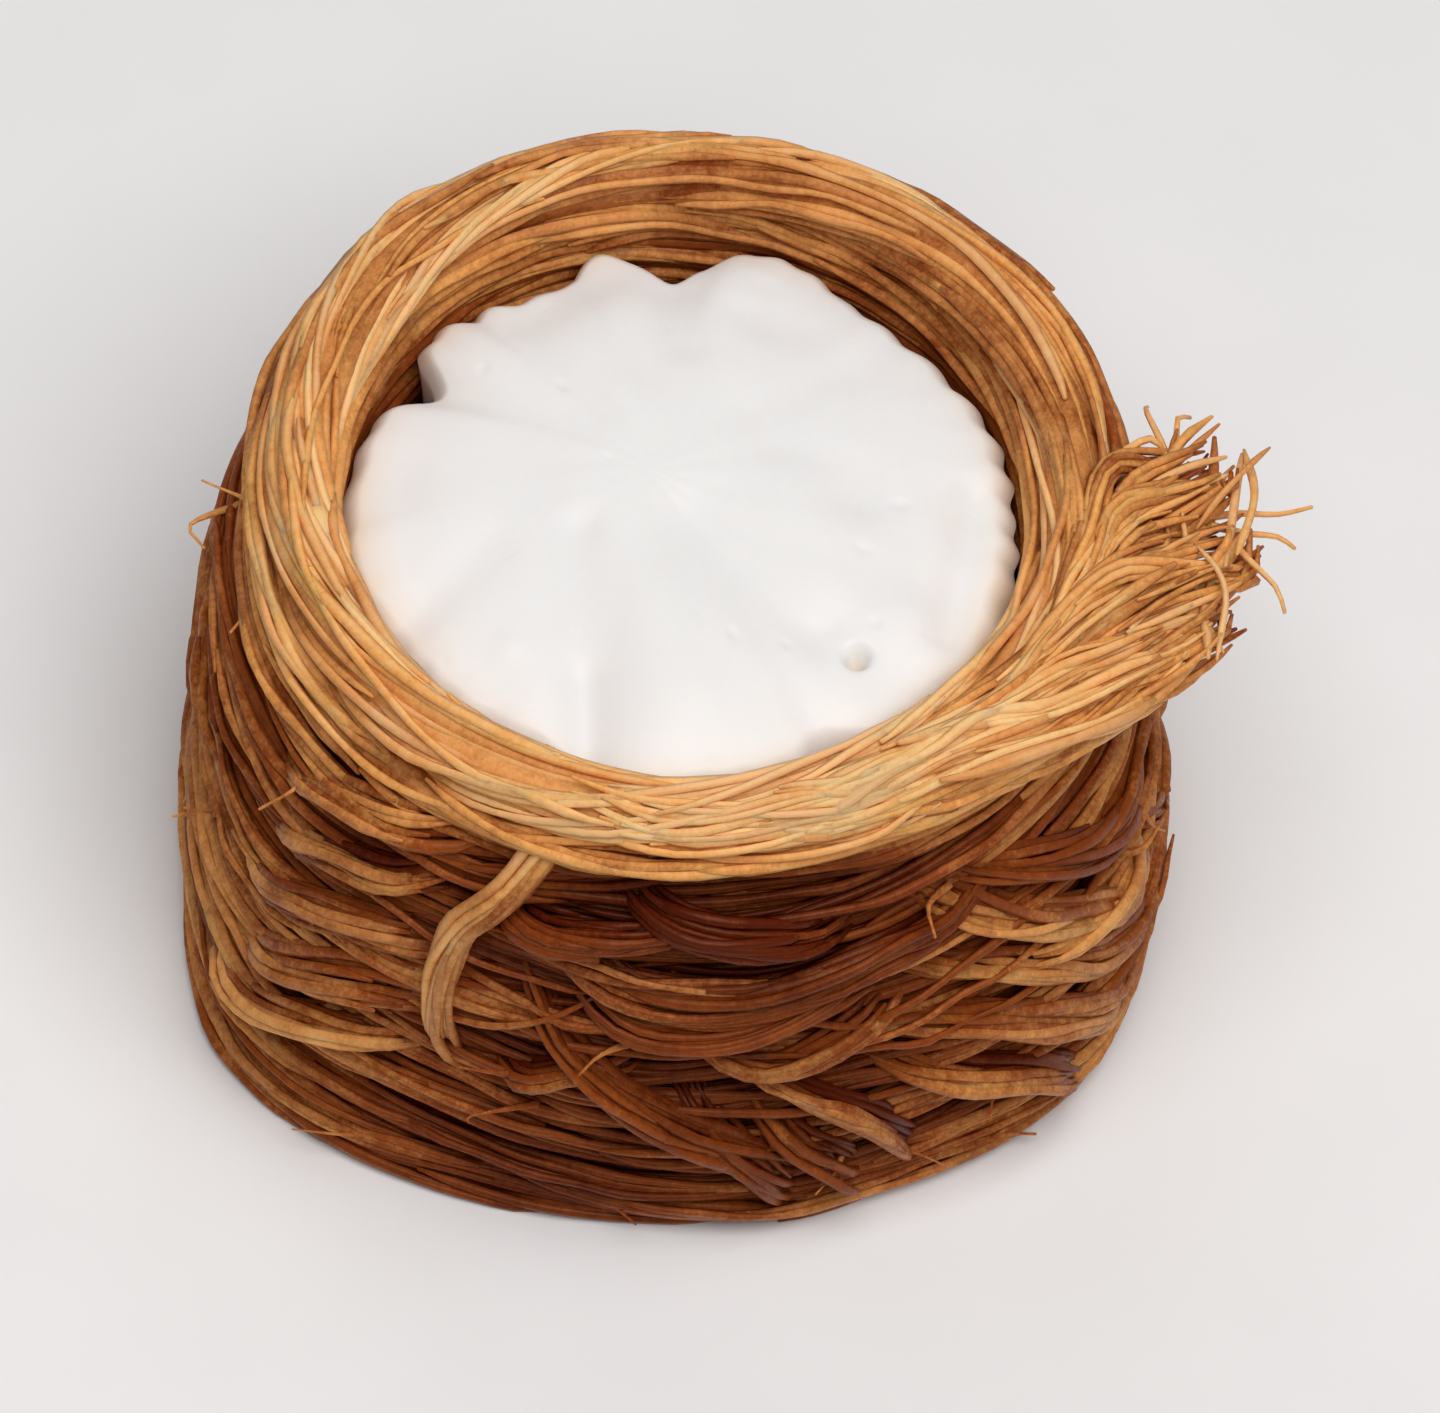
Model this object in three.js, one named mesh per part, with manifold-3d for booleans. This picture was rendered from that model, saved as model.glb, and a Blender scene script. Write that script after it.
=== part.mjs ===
// A kunafa nest: a cup wound from fine shredded pastry and fried crisp, filled with piped cream.
// Millimetres, +Z up, origin at the middle of the flat underside, +X towards the loose tuft of the rim.
// Two pieces: pastry_nest, the wound cup with its rolled rim and tuft, and cream_swirl, the filling.

import * as THREE from "three";
import { mergeVertices } from "three/addons/utils/BufferGeometryUtils.js";
import Module from "manifold-3d";

// Driving dimensions of the pastry cup
const NEST_HEIGHT = 32.2;
const REST_RADIUS = 21; // flat ring that the nest stands on
const BASE_RADIUS = 22.6; // wall just above the rounded bottom edge
const BASE_ROUNDING = 1.2;
const SHOULDER_RADIUS = 20.8; // wall where the rim roll sits on it
const BELLY = 1.4; // how far the wall swells out between base and shoulder
const BELLY_FULLNESS = 0.6; // under 1 the wall swells out soon and then stays nearly straight
const WALL_UNEVENNESS = 0.35;
const WALL_SHIFT = 0.25; // the wall stands this much further out towards the tuft, and less on the other side
// Places where the foot of the wall stands out, or is drawn in
const FOOT_BULGES = [
  { angle: -36, width: 22, depth: 2 },
  { angle: -146, width: 22, depth: 2.6 },
  { angle: -92, width: 26, depth: -0.3 },
];
const FOOT_BULGE_HEIGHT = 26; // they fade up to this height
const RIM_RADIUS = 17.95; // centre line of the rolled rim
const RIM_THICKNESS = 4.1;
const RIM_UNEVENNESS = 0.33;
const RIM_INSIDE = 15.8; // the roll bulges inwards no further than this
const CUP_RADIUS = 16.2; // inside of the cup below the rim
const CUP_FLOOR_RADIUS = 14.6;
const FLOOR_THICKNESS = 5;

// Windings of the wall: one long hank of pastry laid round and round
const WINDING_PITCH = 3.8;
const WINDING_DEPTH = 1.1;
const WINDING_WANDER = 1.1; // how far a winding strays up and down on its way round

// Rope look of the rim: hanks that twist slowly round its centre line
const RIM_HANKS = 3;
const RIM_HANK_DEPTH = 0.6;
const RIM_TWISTS = 2;

// Hanks that cross the windings, each from one place on the wall to another
const CROSSING_WIDTH = 1.7;
const CROSSING_DEPTH = 0.65;
const CROSSING_HANKS = [
  { startAngle: -107, startHeight: 26, endAngle: -118, endHeight: 11 },
  { startAngle: -109, startHeight: 14.5, endAngle: -88, endHeight: 5 },
  { startAngle: -60, startHeight: 14, endAngle: -36, endHeight: 3 },
  { startAngle: -33, startHeight: 20, endAngle: -50, endHeight: 13 },
  { startAngle: 75, startHeight: 22, endAngle: 125, endHeight: 9 },
];

// Loose tuft where the last hank leaves the rim
const TUFT_HANKS = 6;
const TUFT_HANK_RADIUS = 1.6;
const TUFT_FIRST_ANGLE = -64; // where the first hank lifts off the rim
const TUFT_LAST_ANGLE = -14;
const TUFT_FIRST_END = -18; // the free ends lie round the nest from this angle
const TUFT_LAST_END = 13; // to this one
const TUFT_WRAPS = [1, 2 / 3, 1 / 3, 0]; // places along the wrapped start, as shares of its length
const TUFT_WRAP = 30; // how far back each hank still lies along the rim
const TUFT_TUCK = 0.9; // how far in its wrapped start lies
const TUFT_SAG = 0.9; // the hanks' middles lie this far below the rim's
const TUFT_WEAVE = 0.9; // the hanks pass over and under each other by this much
const TUFT_WEAVE_TURN = 2.4; // radians of that weave from one hank to the next
const TUFT_REACH = 25.8; // distance of the longest free end from the middle
const TUFT_RAGGEDNESS = 0.8; // how much shorter the shortest hank is
const TUFT_RAG_TURN = 1.7; // radians of that raggedness from one hank to the next
const TUFT_SHORTENING = 2.2; // the last hank is this much shorter
const TUFT_BOW = 0.45; // share of its free length that a hank goes straight on

// Piped filling
const CREAM_GAP = 0.3;
const CREAM_EDGE_DEPTH = 4.4; // below the top of the rim
const CREAM_CROWN = 1.7; // middle of the swirl above its edge
const SWIRL_SEAMS = [-175, -152, -125, -100, -70, -43, -20, 2, 30, 58, 85, 110, 132, 154]; // angles at the edge
const SEAM_DEPTH = 0.35;
const SEAM_NOTCH = 0.2; // how far a seam cuts into the round edge
// Places where the round edge is set back, or stands out if the depth is negative; degrees and millimetres
const EDGE_MARKS = [
  { angle: 151, width: 5, depth: 2 },
  { angle: 119, width: 8, depth: 0.9 },
  { angle: 92, width: 8, depth: 1.8 },
  { angle: 45, width: 18, depth: 0.8 },
  { angle: -63, width: 5, depth: 0.9 },
  { angle: -116, width: 12, depth: 0.5 },
  { angle: -170, width: 14, depth: -0.3 },
  { angle: -28, width: 16, depth: -0.2 },
];
// Broad hollows across the top, each between two places
const VALLEYS = [
  { from: [-5, -1.5], to: [-4.5, -13], width: 1.5, depth: 0.6 },
  { from: [-0.6, 0], to: [5.7, -7], width: 1.6, depth: 0.6 },
  { from: [13.4, 0.7], to: [12, -6.9], width: 1, depth: 0.5 },
  { from: [2.5, 3.6], to: [8.9, 8.1], width: 1.2, depth: 0.25 },
  { from: [-9.1, -2.9], to: [-12.5, -6.8], width: 1.1, depth: 0.35 },
  { from: [-0.2, 12.5], to: [0.1, 8.5], width: 1.2, depth: 0.5 },
];
const SWIRL_RELIEF = 0.8; // the deepest seam and valley together
const EDGE_ROUNDING = 0.9;
const SEAM_SWEEP = 0.3; // radians that a seam turns on its way to the middle
const SWIRL_MIDDLE = new THREE.Vector2(-1.8, 1.4);

// Fineness of the solids
const CUP_COLUMNS = 84;
const WALL_ROWS = 18;
const RIM_ROWS = 10;
const CREAM_COLUMNS = 112;
const CREAM_ROWS = 8;
const TUFT_SIDES = 7;
const TUFT_STEPS = 8;

const RIM_ROLL_RADIUS = RIM_THICKNESS / 2;
const RIM_HEIGHT = NEST_HEIGHT - RIM_ROLL_RADIUS;
const SHOULDER_HEIGHT = RIM_HEIGHT - 1.6;
const RIM_OUTER_TURN = THREE.MathUtils.degToRad(-40);
const RIM_INNER_TURN = THREE.MathUtils.degToRad(205);
const CREST = 0.3; // a ridge's crest above the mean surface, as a share of the ridge's depth
const CREAM_EDGE_HEIGHT = NEST_HEIGHT - CREAM_EDGE_DEPTH;
const CREAM_BOTTOM = FLOOR_THICKNESS + CREAM_GAP;

const wasm = await Module();
wasm.setup();

/** Slow unevenness round the nest, within about plus or minus one. */
function drift(angle, phase) {
  const twofold = 0.45 * Math.sin(2 * angle + phase);
  const threefold = 0.35 * Math.sin(3 * angle + 2.1 * phase + 1);
  const fivefold = 0.2 * Math.sin(5 * angle - 1.3 * phase + 2);
  return twofold + threefold + fivefold;
}

/** Rounded ridges with narrow grooves between them, from CREST - 1 in a groove to CREST on a crest. */
function ridge(turns) {
  return Math.abs(Math.cos(Math.PI * turns)) ** 0.7 - 1 + CREST;
}

/** Smallest signed difference between two angles in radians. */
function angleBetween(from, to) {
  return Math.atan2(Math.sin(to - from), Math.cos(to - from));
}

/** Sum of soft bumps round the nest at an angle. */
function bumpsAt(bumps, angle) {
  const depths = bumps.map((bump) => {
    const away = THREE.MathUtils.radToDeg(angleBetween(THREE.MathUtils.degToRad(bump.angle), angle));
    return bump.depth * Math.exp(-((away / bump.width) ** 2));
  });
  return depths.reduce((sum, depth) => sum + depth, 0);
}

/** How far one crossing hank raises the wall at a place on it. */
function crossingLift(hank, angle, height) {
  const start = THREE.MathUtils.degToRad(hank.startAngle);
  const sweep = THREE.MathUtils.degToRad(hank.endAngle - hank.startAngle) * BASE_RADIUS;
  const rise = hank.endHeight - hank.startHeight;
  const across = angleBetween(start, angle) * BASE_RADIUS;
  const up = height - hank.startHeight;
  const along = (across * sweep + up * rise) / (sweep ** 2 + rise ** 2);
  const nearest = THREE.MathUtils.clamp(along, 0, 1);
  const distance = Math.hypot(across - nearest * sweep, up - nearest * rise);
  return CROSSING_DEPTH * Math.exp(-2 * (distance / CROSSING_WIDTH) ** 2);
}

/** Radius of the uneven wound wall. */
function wallRadius(angle, height) {
  const share = height / SHOULDER_HEIGHT;
  const swell = BELLY * Math.sin(Math.PI * share) ** BELLY_FULLNESS;
  const barrel = THREE.MathUtils.lerp(BASE_RADIUS, SHOULDER_RADIUS, share) + swell;
  const stray = WINDING_WANDER * drift(angle, 0.7 + height / 20);
  const turns = (height + stray) / WINDING_PITCH - angle / (2 * Math.PI);
  const crossings = CROSSING_HANKS.reduce((sum, hank) => sum + crossingLift(hank, angle, height), 0);
  const uneven = WALL_UNEVENNESS * drift(angle, 2.4 + height / 9) + WALL_SHIFT * Math.cos(angle);
  const foot = bumpsAt(FOOT_BULGES, angle) * Math.max(1 - height / FOOT_BULGE_HEIGHT, 0);
  return barrel + WINDING_DEPTH * ridge(turns) + crossings + uneven + foot;
}

/** Distance of the rim's surface from its centre line, at a turn round that line. */
function rimRoll(angle, turn) {
  const rope = RIM_HANK_DEPTH * ridge((RIM_HANKS * turn - RIM_TWISTS * angle) / (2 * Math.PI));
  return RIM_ROLL_RADIUS + 0.5 * RIM_UNEVENNESS * drift(angle, 1.1) + rope;
}

/** Section of the cup, as steps from the middle of the underside round to the middle of the cup's floor. */
function cupSection() {
  const steps = [{ part: "base", radius: 0, height: 0 }];
  steps.push({ part: "base", radius: REST_RADIUS, height: 0 });
  for (let row = 0; row <= WALL_ROWS; row += 1) {
    const height = THREE.MathUtils.lerp(BASE_ROUNDING, SHOULDER_HEIGHT, row / WALL_ROWS);
    steps.push({ part: "wall", radius: BASE_RADIUS, height });
  }
  for (let row = 0; row <= RIM_ROWS; row += 1) {
    const turn = THREE.MathUtils.lerp(RIM_OUTER_TURN, RIM_INNER_TURN, row / RIM_ROWS);
    steps.push({ part: "rim", radius: RIM_RADIUS, height: RIM_HEIGHT, turn });
  }
  steps.push({ part: "cup", radius: CUP_RADIUS, height: RIM_HEIGHT - RIM_ROLL_RADIUS });
  steps.push({ part: "cup", radius: CUP_FLOOR_RADIUS, height: FLOOR_THICKNESS });
  steps.push({ part: "cup", radius: 0, height: FLOOR_THICKNESS });
  return steps;
}

/** The point at an angle, a radius and a height. */
function pointAt(angle, radius, height) {
  return new THREE.Vector3(radius * Math.cos(angle), radius * Math.sin(angle), height);
}

/** Where a step of the cup's section lies at an angle. */
function cupPoint(step, angle) {
  if (step.part === "wall") {
    return pointAt(angle, wallRadius(angle, step.height), step.height);
  }
  if (step.part === "rim") {
    const roll = rimRoll(angle, step.turn);
    const radius = RIM_RADIUS + roll * Math.cos(step.turn) + RIM_UNEVENNESS * drift(angle, 3.1);
    const height = RIM_HEIGHT + roll * Math.sin(step.turn) + RIM_UNEVENNESS * drift(angle, 5.2);
    return pointAt(angle, Math.max(radius, RIM_INSIDE), Math.min(height, NEST_HEIGHT));
  }
  return pointAt(angle, step.radius, step.height);
}

/** Revolves a section and then moves every point to where place(step, angle) says. */
function revolve(section, columns, place) {
  const outline = section.map((step) => new THREE.Vector2(step.radius, step.height));
  const geometry = new THREE.LatheGeometry(outline, columns);
  const position = geometry.getAttribute("position");
  for (let i = 0; i < position.count; i += 1) {
    const column = Math.floor(i / section.length) % columns;
    const point = place(section[i % section.length], (2 * Math.PI * column) / columns);
    position.setXYZ(i, point.x, point.y, point.z);
  }
  return geometry;
}

/** One hank of the tuft: along the rim, then off it to its place in the frayed end. */
function tuftHank(index) {
  const share = index / (TUFT_HANKS - 1);
  const leaves = THREE.MathUtils.degToRad(THREE.MathUtils.lerp(TUFT_FIRST_ANGLE, TUFT_LAST_ANGLE, share));
  const ends = THREE.MathUtils.degToRad(THREE.MathUtils.lerp(TUFT_FIRST_END, TUFT_LAST_END, share));
  const height = RIM_HEIGHT - TUFT_SAG + TUFT_WEAVE * Math.sin(TUFT_WEAVE_TURN * index);
  const points = [];
  for (const wrap of TUFT_WRAPS) {
    const angle = leaves - THREE.MathUtils.degToRad(TUFT_WRAP) * wrap;
    points.push(pointAt(angle, RIM_RADIUS + TUFT_TUCK * (1 - wrap), height));
  }
  const start = points[points.length - 1];
  const heading = new THREE.Vector3(-Math.sin(leaves), Math.cos(leaves), 0);
  const reach = TUFT_REACH - TUFT_RAGGEDNESS * Math.abs(Math.sin(TUFT_RAG_TURN * index)) - TUFT_SHORTENING * share ** 3;
  const end = pointAt(ends, reach, height);
  points.push(start.clone().addScaledVector(heading, TUFT_BOW * start.distanceTo(end)));
  points.push(end);
  const outline = new THREE.Shape();
  outline.absarc(0, 0, TUFT_HANK_RADIUS, 0, 2 * Math.PI);
  return new THREE.ExtrudeGeometry(outline, {
    extrudePath: new THREE.CatmullRomCurve3(points),
    steps: TUFT_STEPS,
    curveSegments: TUFT_SIDES,
    bevelEnabled: false,
  });
}

/** Section of the filling, from the middle of its underside round to the middle of its top. */
function creamSection() {
  const plugTop = CREAM_EDGE_HEIGHT - SWIRL_RELIEF - 2 * EDGE_ROUNDING;
  const steps = [{ part: "plug", radius: 0, height: CREAM_BOTTOM }];
  steps.push({ part: "plug", radius: CUP_FLOOR_RADIUS - CREAM_GAP, height: CREAM_BOTTOM });
  steps.push({ part: "plug", radius: RIM_INSIDE - CREAM_GAP, height: plugTop });
  for (let row = CREAM_ROWS; row >= 0; row -= 1) {
    const share = Math.sin((Math.PI / 2) * (row / CREAM_ROWS));
    steps.push({ part: "swirl", radius: share * CUP_RADIUS, height: CREAM_EDGE_HEIGHT, share });
  }
  return steps;
}

/** How near a seam of the swirl an angle at its edge is, from zero on a ridge to one in the seam. */
function seamNearness(angle) {
  const first = SWIRL_SEAMS[0];
  const degrees = THREE.MathUtils.euclideanModulo(THREE.MathUtils.radToDeg(angle) - first, 360) + first;
  const marks = [...SWIRL_SEAMS, first + 360];
  const next = marks.findIndex((seam) => seam > degrees);
  const share = (degrees - marks[next - 1]) / (marks[next] - marks[next - 1]);
  return Math.abs(2 * share - 1);
}

/** How far the swirl's edge is set back at an angle. */
function edgeNotch(angle) {
  return bumpsAt(EDGE_MARKS, angle) + SEAM_NOTCH * seamNearness(angle) ** 2;
}

/** How deep the broad hollows are at a place on the swirl's top. */
function valleyDepth(place) {
  const depths = VALLEYS.map((valley) => {
    const line = new THREE.Line3(new THREE.Vector3(...valley.from, 0), new THREE.Vector3(...valley.to, 0));
    const away = line.closestPointToPoint(place, true, new THREE.Vector3()).distanceTo(place);
    return valley.depth * Math.exp(-((away / valley.width) ** 2));
  });
  return Math.max(...depths);
}

/** Where a step of the filling's section lies at an angle; a share of 1 is the swirl's edge. */
function creamPoint(step, angle) {
  if (step.part === "plug") {
    return pointAt(angle, step.radius, step.height);
  }
  const share = step.share;
  const outer = RIM_INSIDE - CREAM_GAP - edgeNotch(angle) * share ** 8;
  const crown = CREAM_CROWN * (1 - share ** 3);
  const seam = SEAM_DEPTH * seamNearness(angle + SEAM_SWEEP * (1 - share)) ** 2 * share ** 0.6;
  const rounding = share === 1 ? EDGE_ROUNDING : 0;
  const place = pointAt(angle, share * outer, 0);
  place.x += (1 - share) * SWIRL_MIDDLE.x;
  place.y += (1 - share) * SWIRL_MIDDLE.y;
  place.z = step.height + crown - seam - rounding - valleyDepth(place);
  return place;
}

/** A closed geometry as a solid that can be joined. */
function solid(geometry) {
  const bare = geometry.clone();
  bare.deleteAttribute("normal");
  bare.deleteAttribute("uv");
  const merged = mergeVertices(bare, 1e-3);
  return new wasm.Manifold(
    new wasm.Mesh({
      numProp: 3,
      vertProperties: merged.getAttribute("position").array,
      triVerts: new Uint32Array(merged.index.array),
    }),
  );
}

/** A solid's faces as a geometry. */
function geometryOf(joined) {
  const mesh = joined.getMesh();
  const geometry = new THREE.BufferGeometry();
  geometry.setAttribute("position", new THREE.BufferAttribute(mesh.vertProperties, 3));
  geometry.setIndex(new THREE.BufferAttribute(mesh.triVerts, 1));
  geometry.computeVertexNormals();
  return geometry;
}

/** The pastry cup with its rim and tuft, as one solid. */
function pastryNest() {
  let nest = solid(revolve(cupSection(), CUP_COLUMNS, cupPoint));
  for (let index = 0; index < TUFT_HANKS; index += 1) {
    nest = nest.add(solid(tuftHank(index)));
  }
  const material = new THREE.MeshStandardMaterial({ color: 0xb8743a, roughness: 0.55, metalness: 0 });
  const mesh = new THREE.Mesh(geometryOf(nest), material);
  mesh.name = "pastry_nest";
  return mesh;
}

/** The filling. */
function creamSwirl() {
  const material = new THREE.MeshStandardMaterial({ color: 0xf1efec, roughness: 0.45, metalness: 0 });
  const mesh = new THREE.Mesh(revolve(creamSection(), CREAM_COLUMNS, creamPoint), material);
  mesh.name = "cream_swirl";
  return mesh;
}

const kunafaNest = new THREE.Group();
kunafaNest.add(pastryNest());
kunafaNest.add(creamSwirl());

export default kunafaNest;
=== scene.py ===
"""A kunafa nest: a cup wound from fine shredded pastry and fried crisp, filled with piped cream.

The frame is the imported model's: metres, +Z up, the loose tuft of the rim towards +X. The classes hold their
sizes in millimetres, and make_piece turns them to metres.
"""

import logging
import math
from collections.abc import Callable
from dataclasses import dataclass, field
from enum import Enum
from functools import partial
from typing import ClassVar

import bpy
import numpy as np
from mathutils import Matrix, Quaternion, Vector


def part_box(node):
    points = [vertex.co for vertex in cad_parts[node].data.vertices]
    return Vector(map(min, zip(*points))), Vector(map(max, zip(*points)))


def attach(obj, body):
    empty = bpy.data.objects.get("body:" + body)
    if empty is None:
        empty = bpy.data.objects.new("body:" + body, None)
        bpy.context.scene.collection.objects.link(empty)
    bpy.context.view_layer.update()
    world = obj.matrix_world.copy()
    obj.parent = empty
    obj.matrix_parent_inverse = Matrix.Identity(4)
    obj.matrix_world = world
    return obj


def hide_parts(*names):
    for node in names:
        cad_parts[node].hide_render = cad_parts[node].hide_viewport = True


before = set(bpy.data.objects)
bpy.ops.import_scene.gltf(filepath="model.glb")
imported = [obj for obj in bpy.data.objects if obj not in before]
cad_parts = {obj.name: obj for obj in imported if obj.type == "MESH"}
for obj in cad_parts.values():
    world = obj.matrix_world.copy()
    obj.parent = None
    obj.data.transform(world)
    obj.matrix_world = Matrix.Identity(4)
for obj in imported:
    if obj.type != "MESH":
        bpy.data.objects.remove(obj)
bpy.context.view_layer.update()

MM = 0.001
STEP = 1.0  # distance between the rings of a strand's tube
BODY = "root"
LOG = logging.getLogger("kunafa_nest")

Colour = tuple[float, float, float, float]
Field = Callable[[np.ndarray], np.ndarray]


class Slot(Enum):
    """Material slots of the pastry and the cream."""

    PASTRY = "fried_pastry"
    CREAM = "cream"


class Node(Enum):
    """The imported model's nodes."""

    PASTRY = "pastry_nest"
    CREAM = "cream_swirl"


# ---------------------------------------------------------------- small tools


def srgb(colour: str) -> Colour:
    """Turns an sRGB hex colour to linear.

    Args:
        colour: Six hex digits after a hash.

    Returns:
        Linear red, green, blue and an alpha of one.
    """
    channels = [int(colour[i : i + 2], 16) / 255 for i in (1, 3, 5)]
    linear = [c / 12.92 if c <= 0.04045 else ((c + 0.055) / 1.055) ** 2.4 for c in channels]
    return (*linear, 1.0)


def add_node(
    tree: bpy.types.NodeTree, kind: str, settings: dict | None = None, inputs: dict | None = None
) -> bpy.types.Node:
    """Adds a node with its settings and links.

    Args:
        tree: The node tree that gets the node.
        kind: The shader node's type.
        settings: Properties of the node by name.
        inputs: Values by input name or number; an output socket is linked instead.

    Returns:
        The new node.
    """
    node = tree.nodes.new(f"ShaderNode{kind}")
    for name, value in (settings or {}).items():
        setattr(node, name, value)
    for name, value in (inputs or {}).items():
        if isinstance(value, bpy.types.NodeSocket):
            tree.links.new(value, node.inputs[name])
        else:
            node.inputs[name].default_value = value
    return node


def new_material(name: str) -> tuple[bpy.types.Material, Callable]:
    """Makes a material with no nodes in it.

    Args:
        name: The material's name.

    Returns:
        The material, and add_node for its tree.
    """
    material = bpy.data.materials.new(name)
    material.use_nodes = True
    material.node_tree.nodes.clear()
    return material, partial(add_node, material.node_tree)


def unit(vectors: np.ndarray) -> np.ndarray:
    """Scales rows to length one."""
    return vectors / np.maximum(np.linalg.norm(vectors, axis=-1, keepdims=True), 1e-9)


def drift(angle: np.ndarray, phase: np.ndarray | float) -> np.ndarray:
    """Slow unevenness round the nest.

    Args:
        angle: Angles in radians.
        phase: What makes one unevenness differ from another.

    Returns:
        One value for each angle, within about plus or minus one.
    """
    twofold = 0.45 * np.sin(2 * angle + phase)
    threefold = 0.35 * np.sin(3 * angle + 2.1 * phase + 1)
    return twofold + threefold + 0.2 * np.sin(5 * angle - 1.3 * phase + 2)


def between(near: tuple, share: np.ndarray) -> np.ndarray:
    """Runs a smooth curve between the middle two of four values.

    Args:
        near: Four values or points in a row.
        share: The place between the middle two, from zero to one.

    Returns:
        The curve's values or points.
    """
    a, b, c, d = near
    cubic = (3 * b - 3 * c + d - a) * share**3 + (2 * a - 5 * b + 4 * c - d) * share**2
    return 0.5 * (2 * b + (c - a) * share + cubic)


def wander(rng: np.random.Generator, distance: np.ndarray, wavelength: float) -> np.ndarray:
    """Smooth random values along a line.

    Args:
        rng: Source of the random draws.
        distance: Distances along the line, which start near zero.
        wavelength: Distance over which the value changes.

    Returns:
        One value for each distance, mostly within plus or minus one.
    """
    knots = rng.normal(0, 0.6, int(distance[-1] / wavelength) + 5)
    place = (distance - distance[0]) / wavelength + rng.uniform(0, 1)
    index = np.floor(place).astype(int)
    return between(tuple(knots[index + i] for i in range(4)), place - index)


def smooth_line(points: np.ndarray, step: float = STEP) -> np.ndarray:
    """Runs a smooth curve through a few points.

    Args:
        points: Rows of coordinates.
        step: Distance between the rows of the result, in the points' own unit.

    Returns:
        Rows of coordinates along the curve.
    """
    padded = np.vstack([2 * points[0] - points[1], points, 2 * points[-1] - points[-2]])
    parts = []
    for near in zip(padded, padded[1:], padded[2:], padded[3:]):
        count = max(2, round(np.linalg.norm(near[2] - near[1]) / step))
        parts.append(between(near, np.linspace(0, 1, count, endpoint=False)[:, None]))
    return np.vstack([*parts, points[-1]])


def lengths_along(path: np.ndarray) -> np.ndarray:
    """Distance of each row of a path from its first row."""
    return np.concatenate([[0], np.cumsum(np.linalg.norm(np.diff(path, axis=0), axis=1))])


def around(angle: np.ndarray, radius: np.ndarray | float, height: np.ndarray | float) -> np.ndarray:
    """Points at angles, radii and heights."""
    return np.stack(np.broadcast_arrays(radius * np.cos(angle), radius * np.sin(angle), height), axis=-1)


def bell(value: np.ndarray, middle: float, width: float) -> np.ndarray:
    """A soft bump of height one about a middle, that fades over a width."""
    return np.exp(-(((value - middle) / width) ** 2))


def angle_bell(angle: np.ndarray, middle: float, width: float) -> np.ndarray:
    """A soft bump round the nest, with its middle and width in degrees."""
    away = np.angle(np.exp(1j * (angle - math.radians(middle))))
    return np.exp(-((away / math.radians(width)) ** 2))


# ---------------------------------------------------------------- finishes


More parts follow.
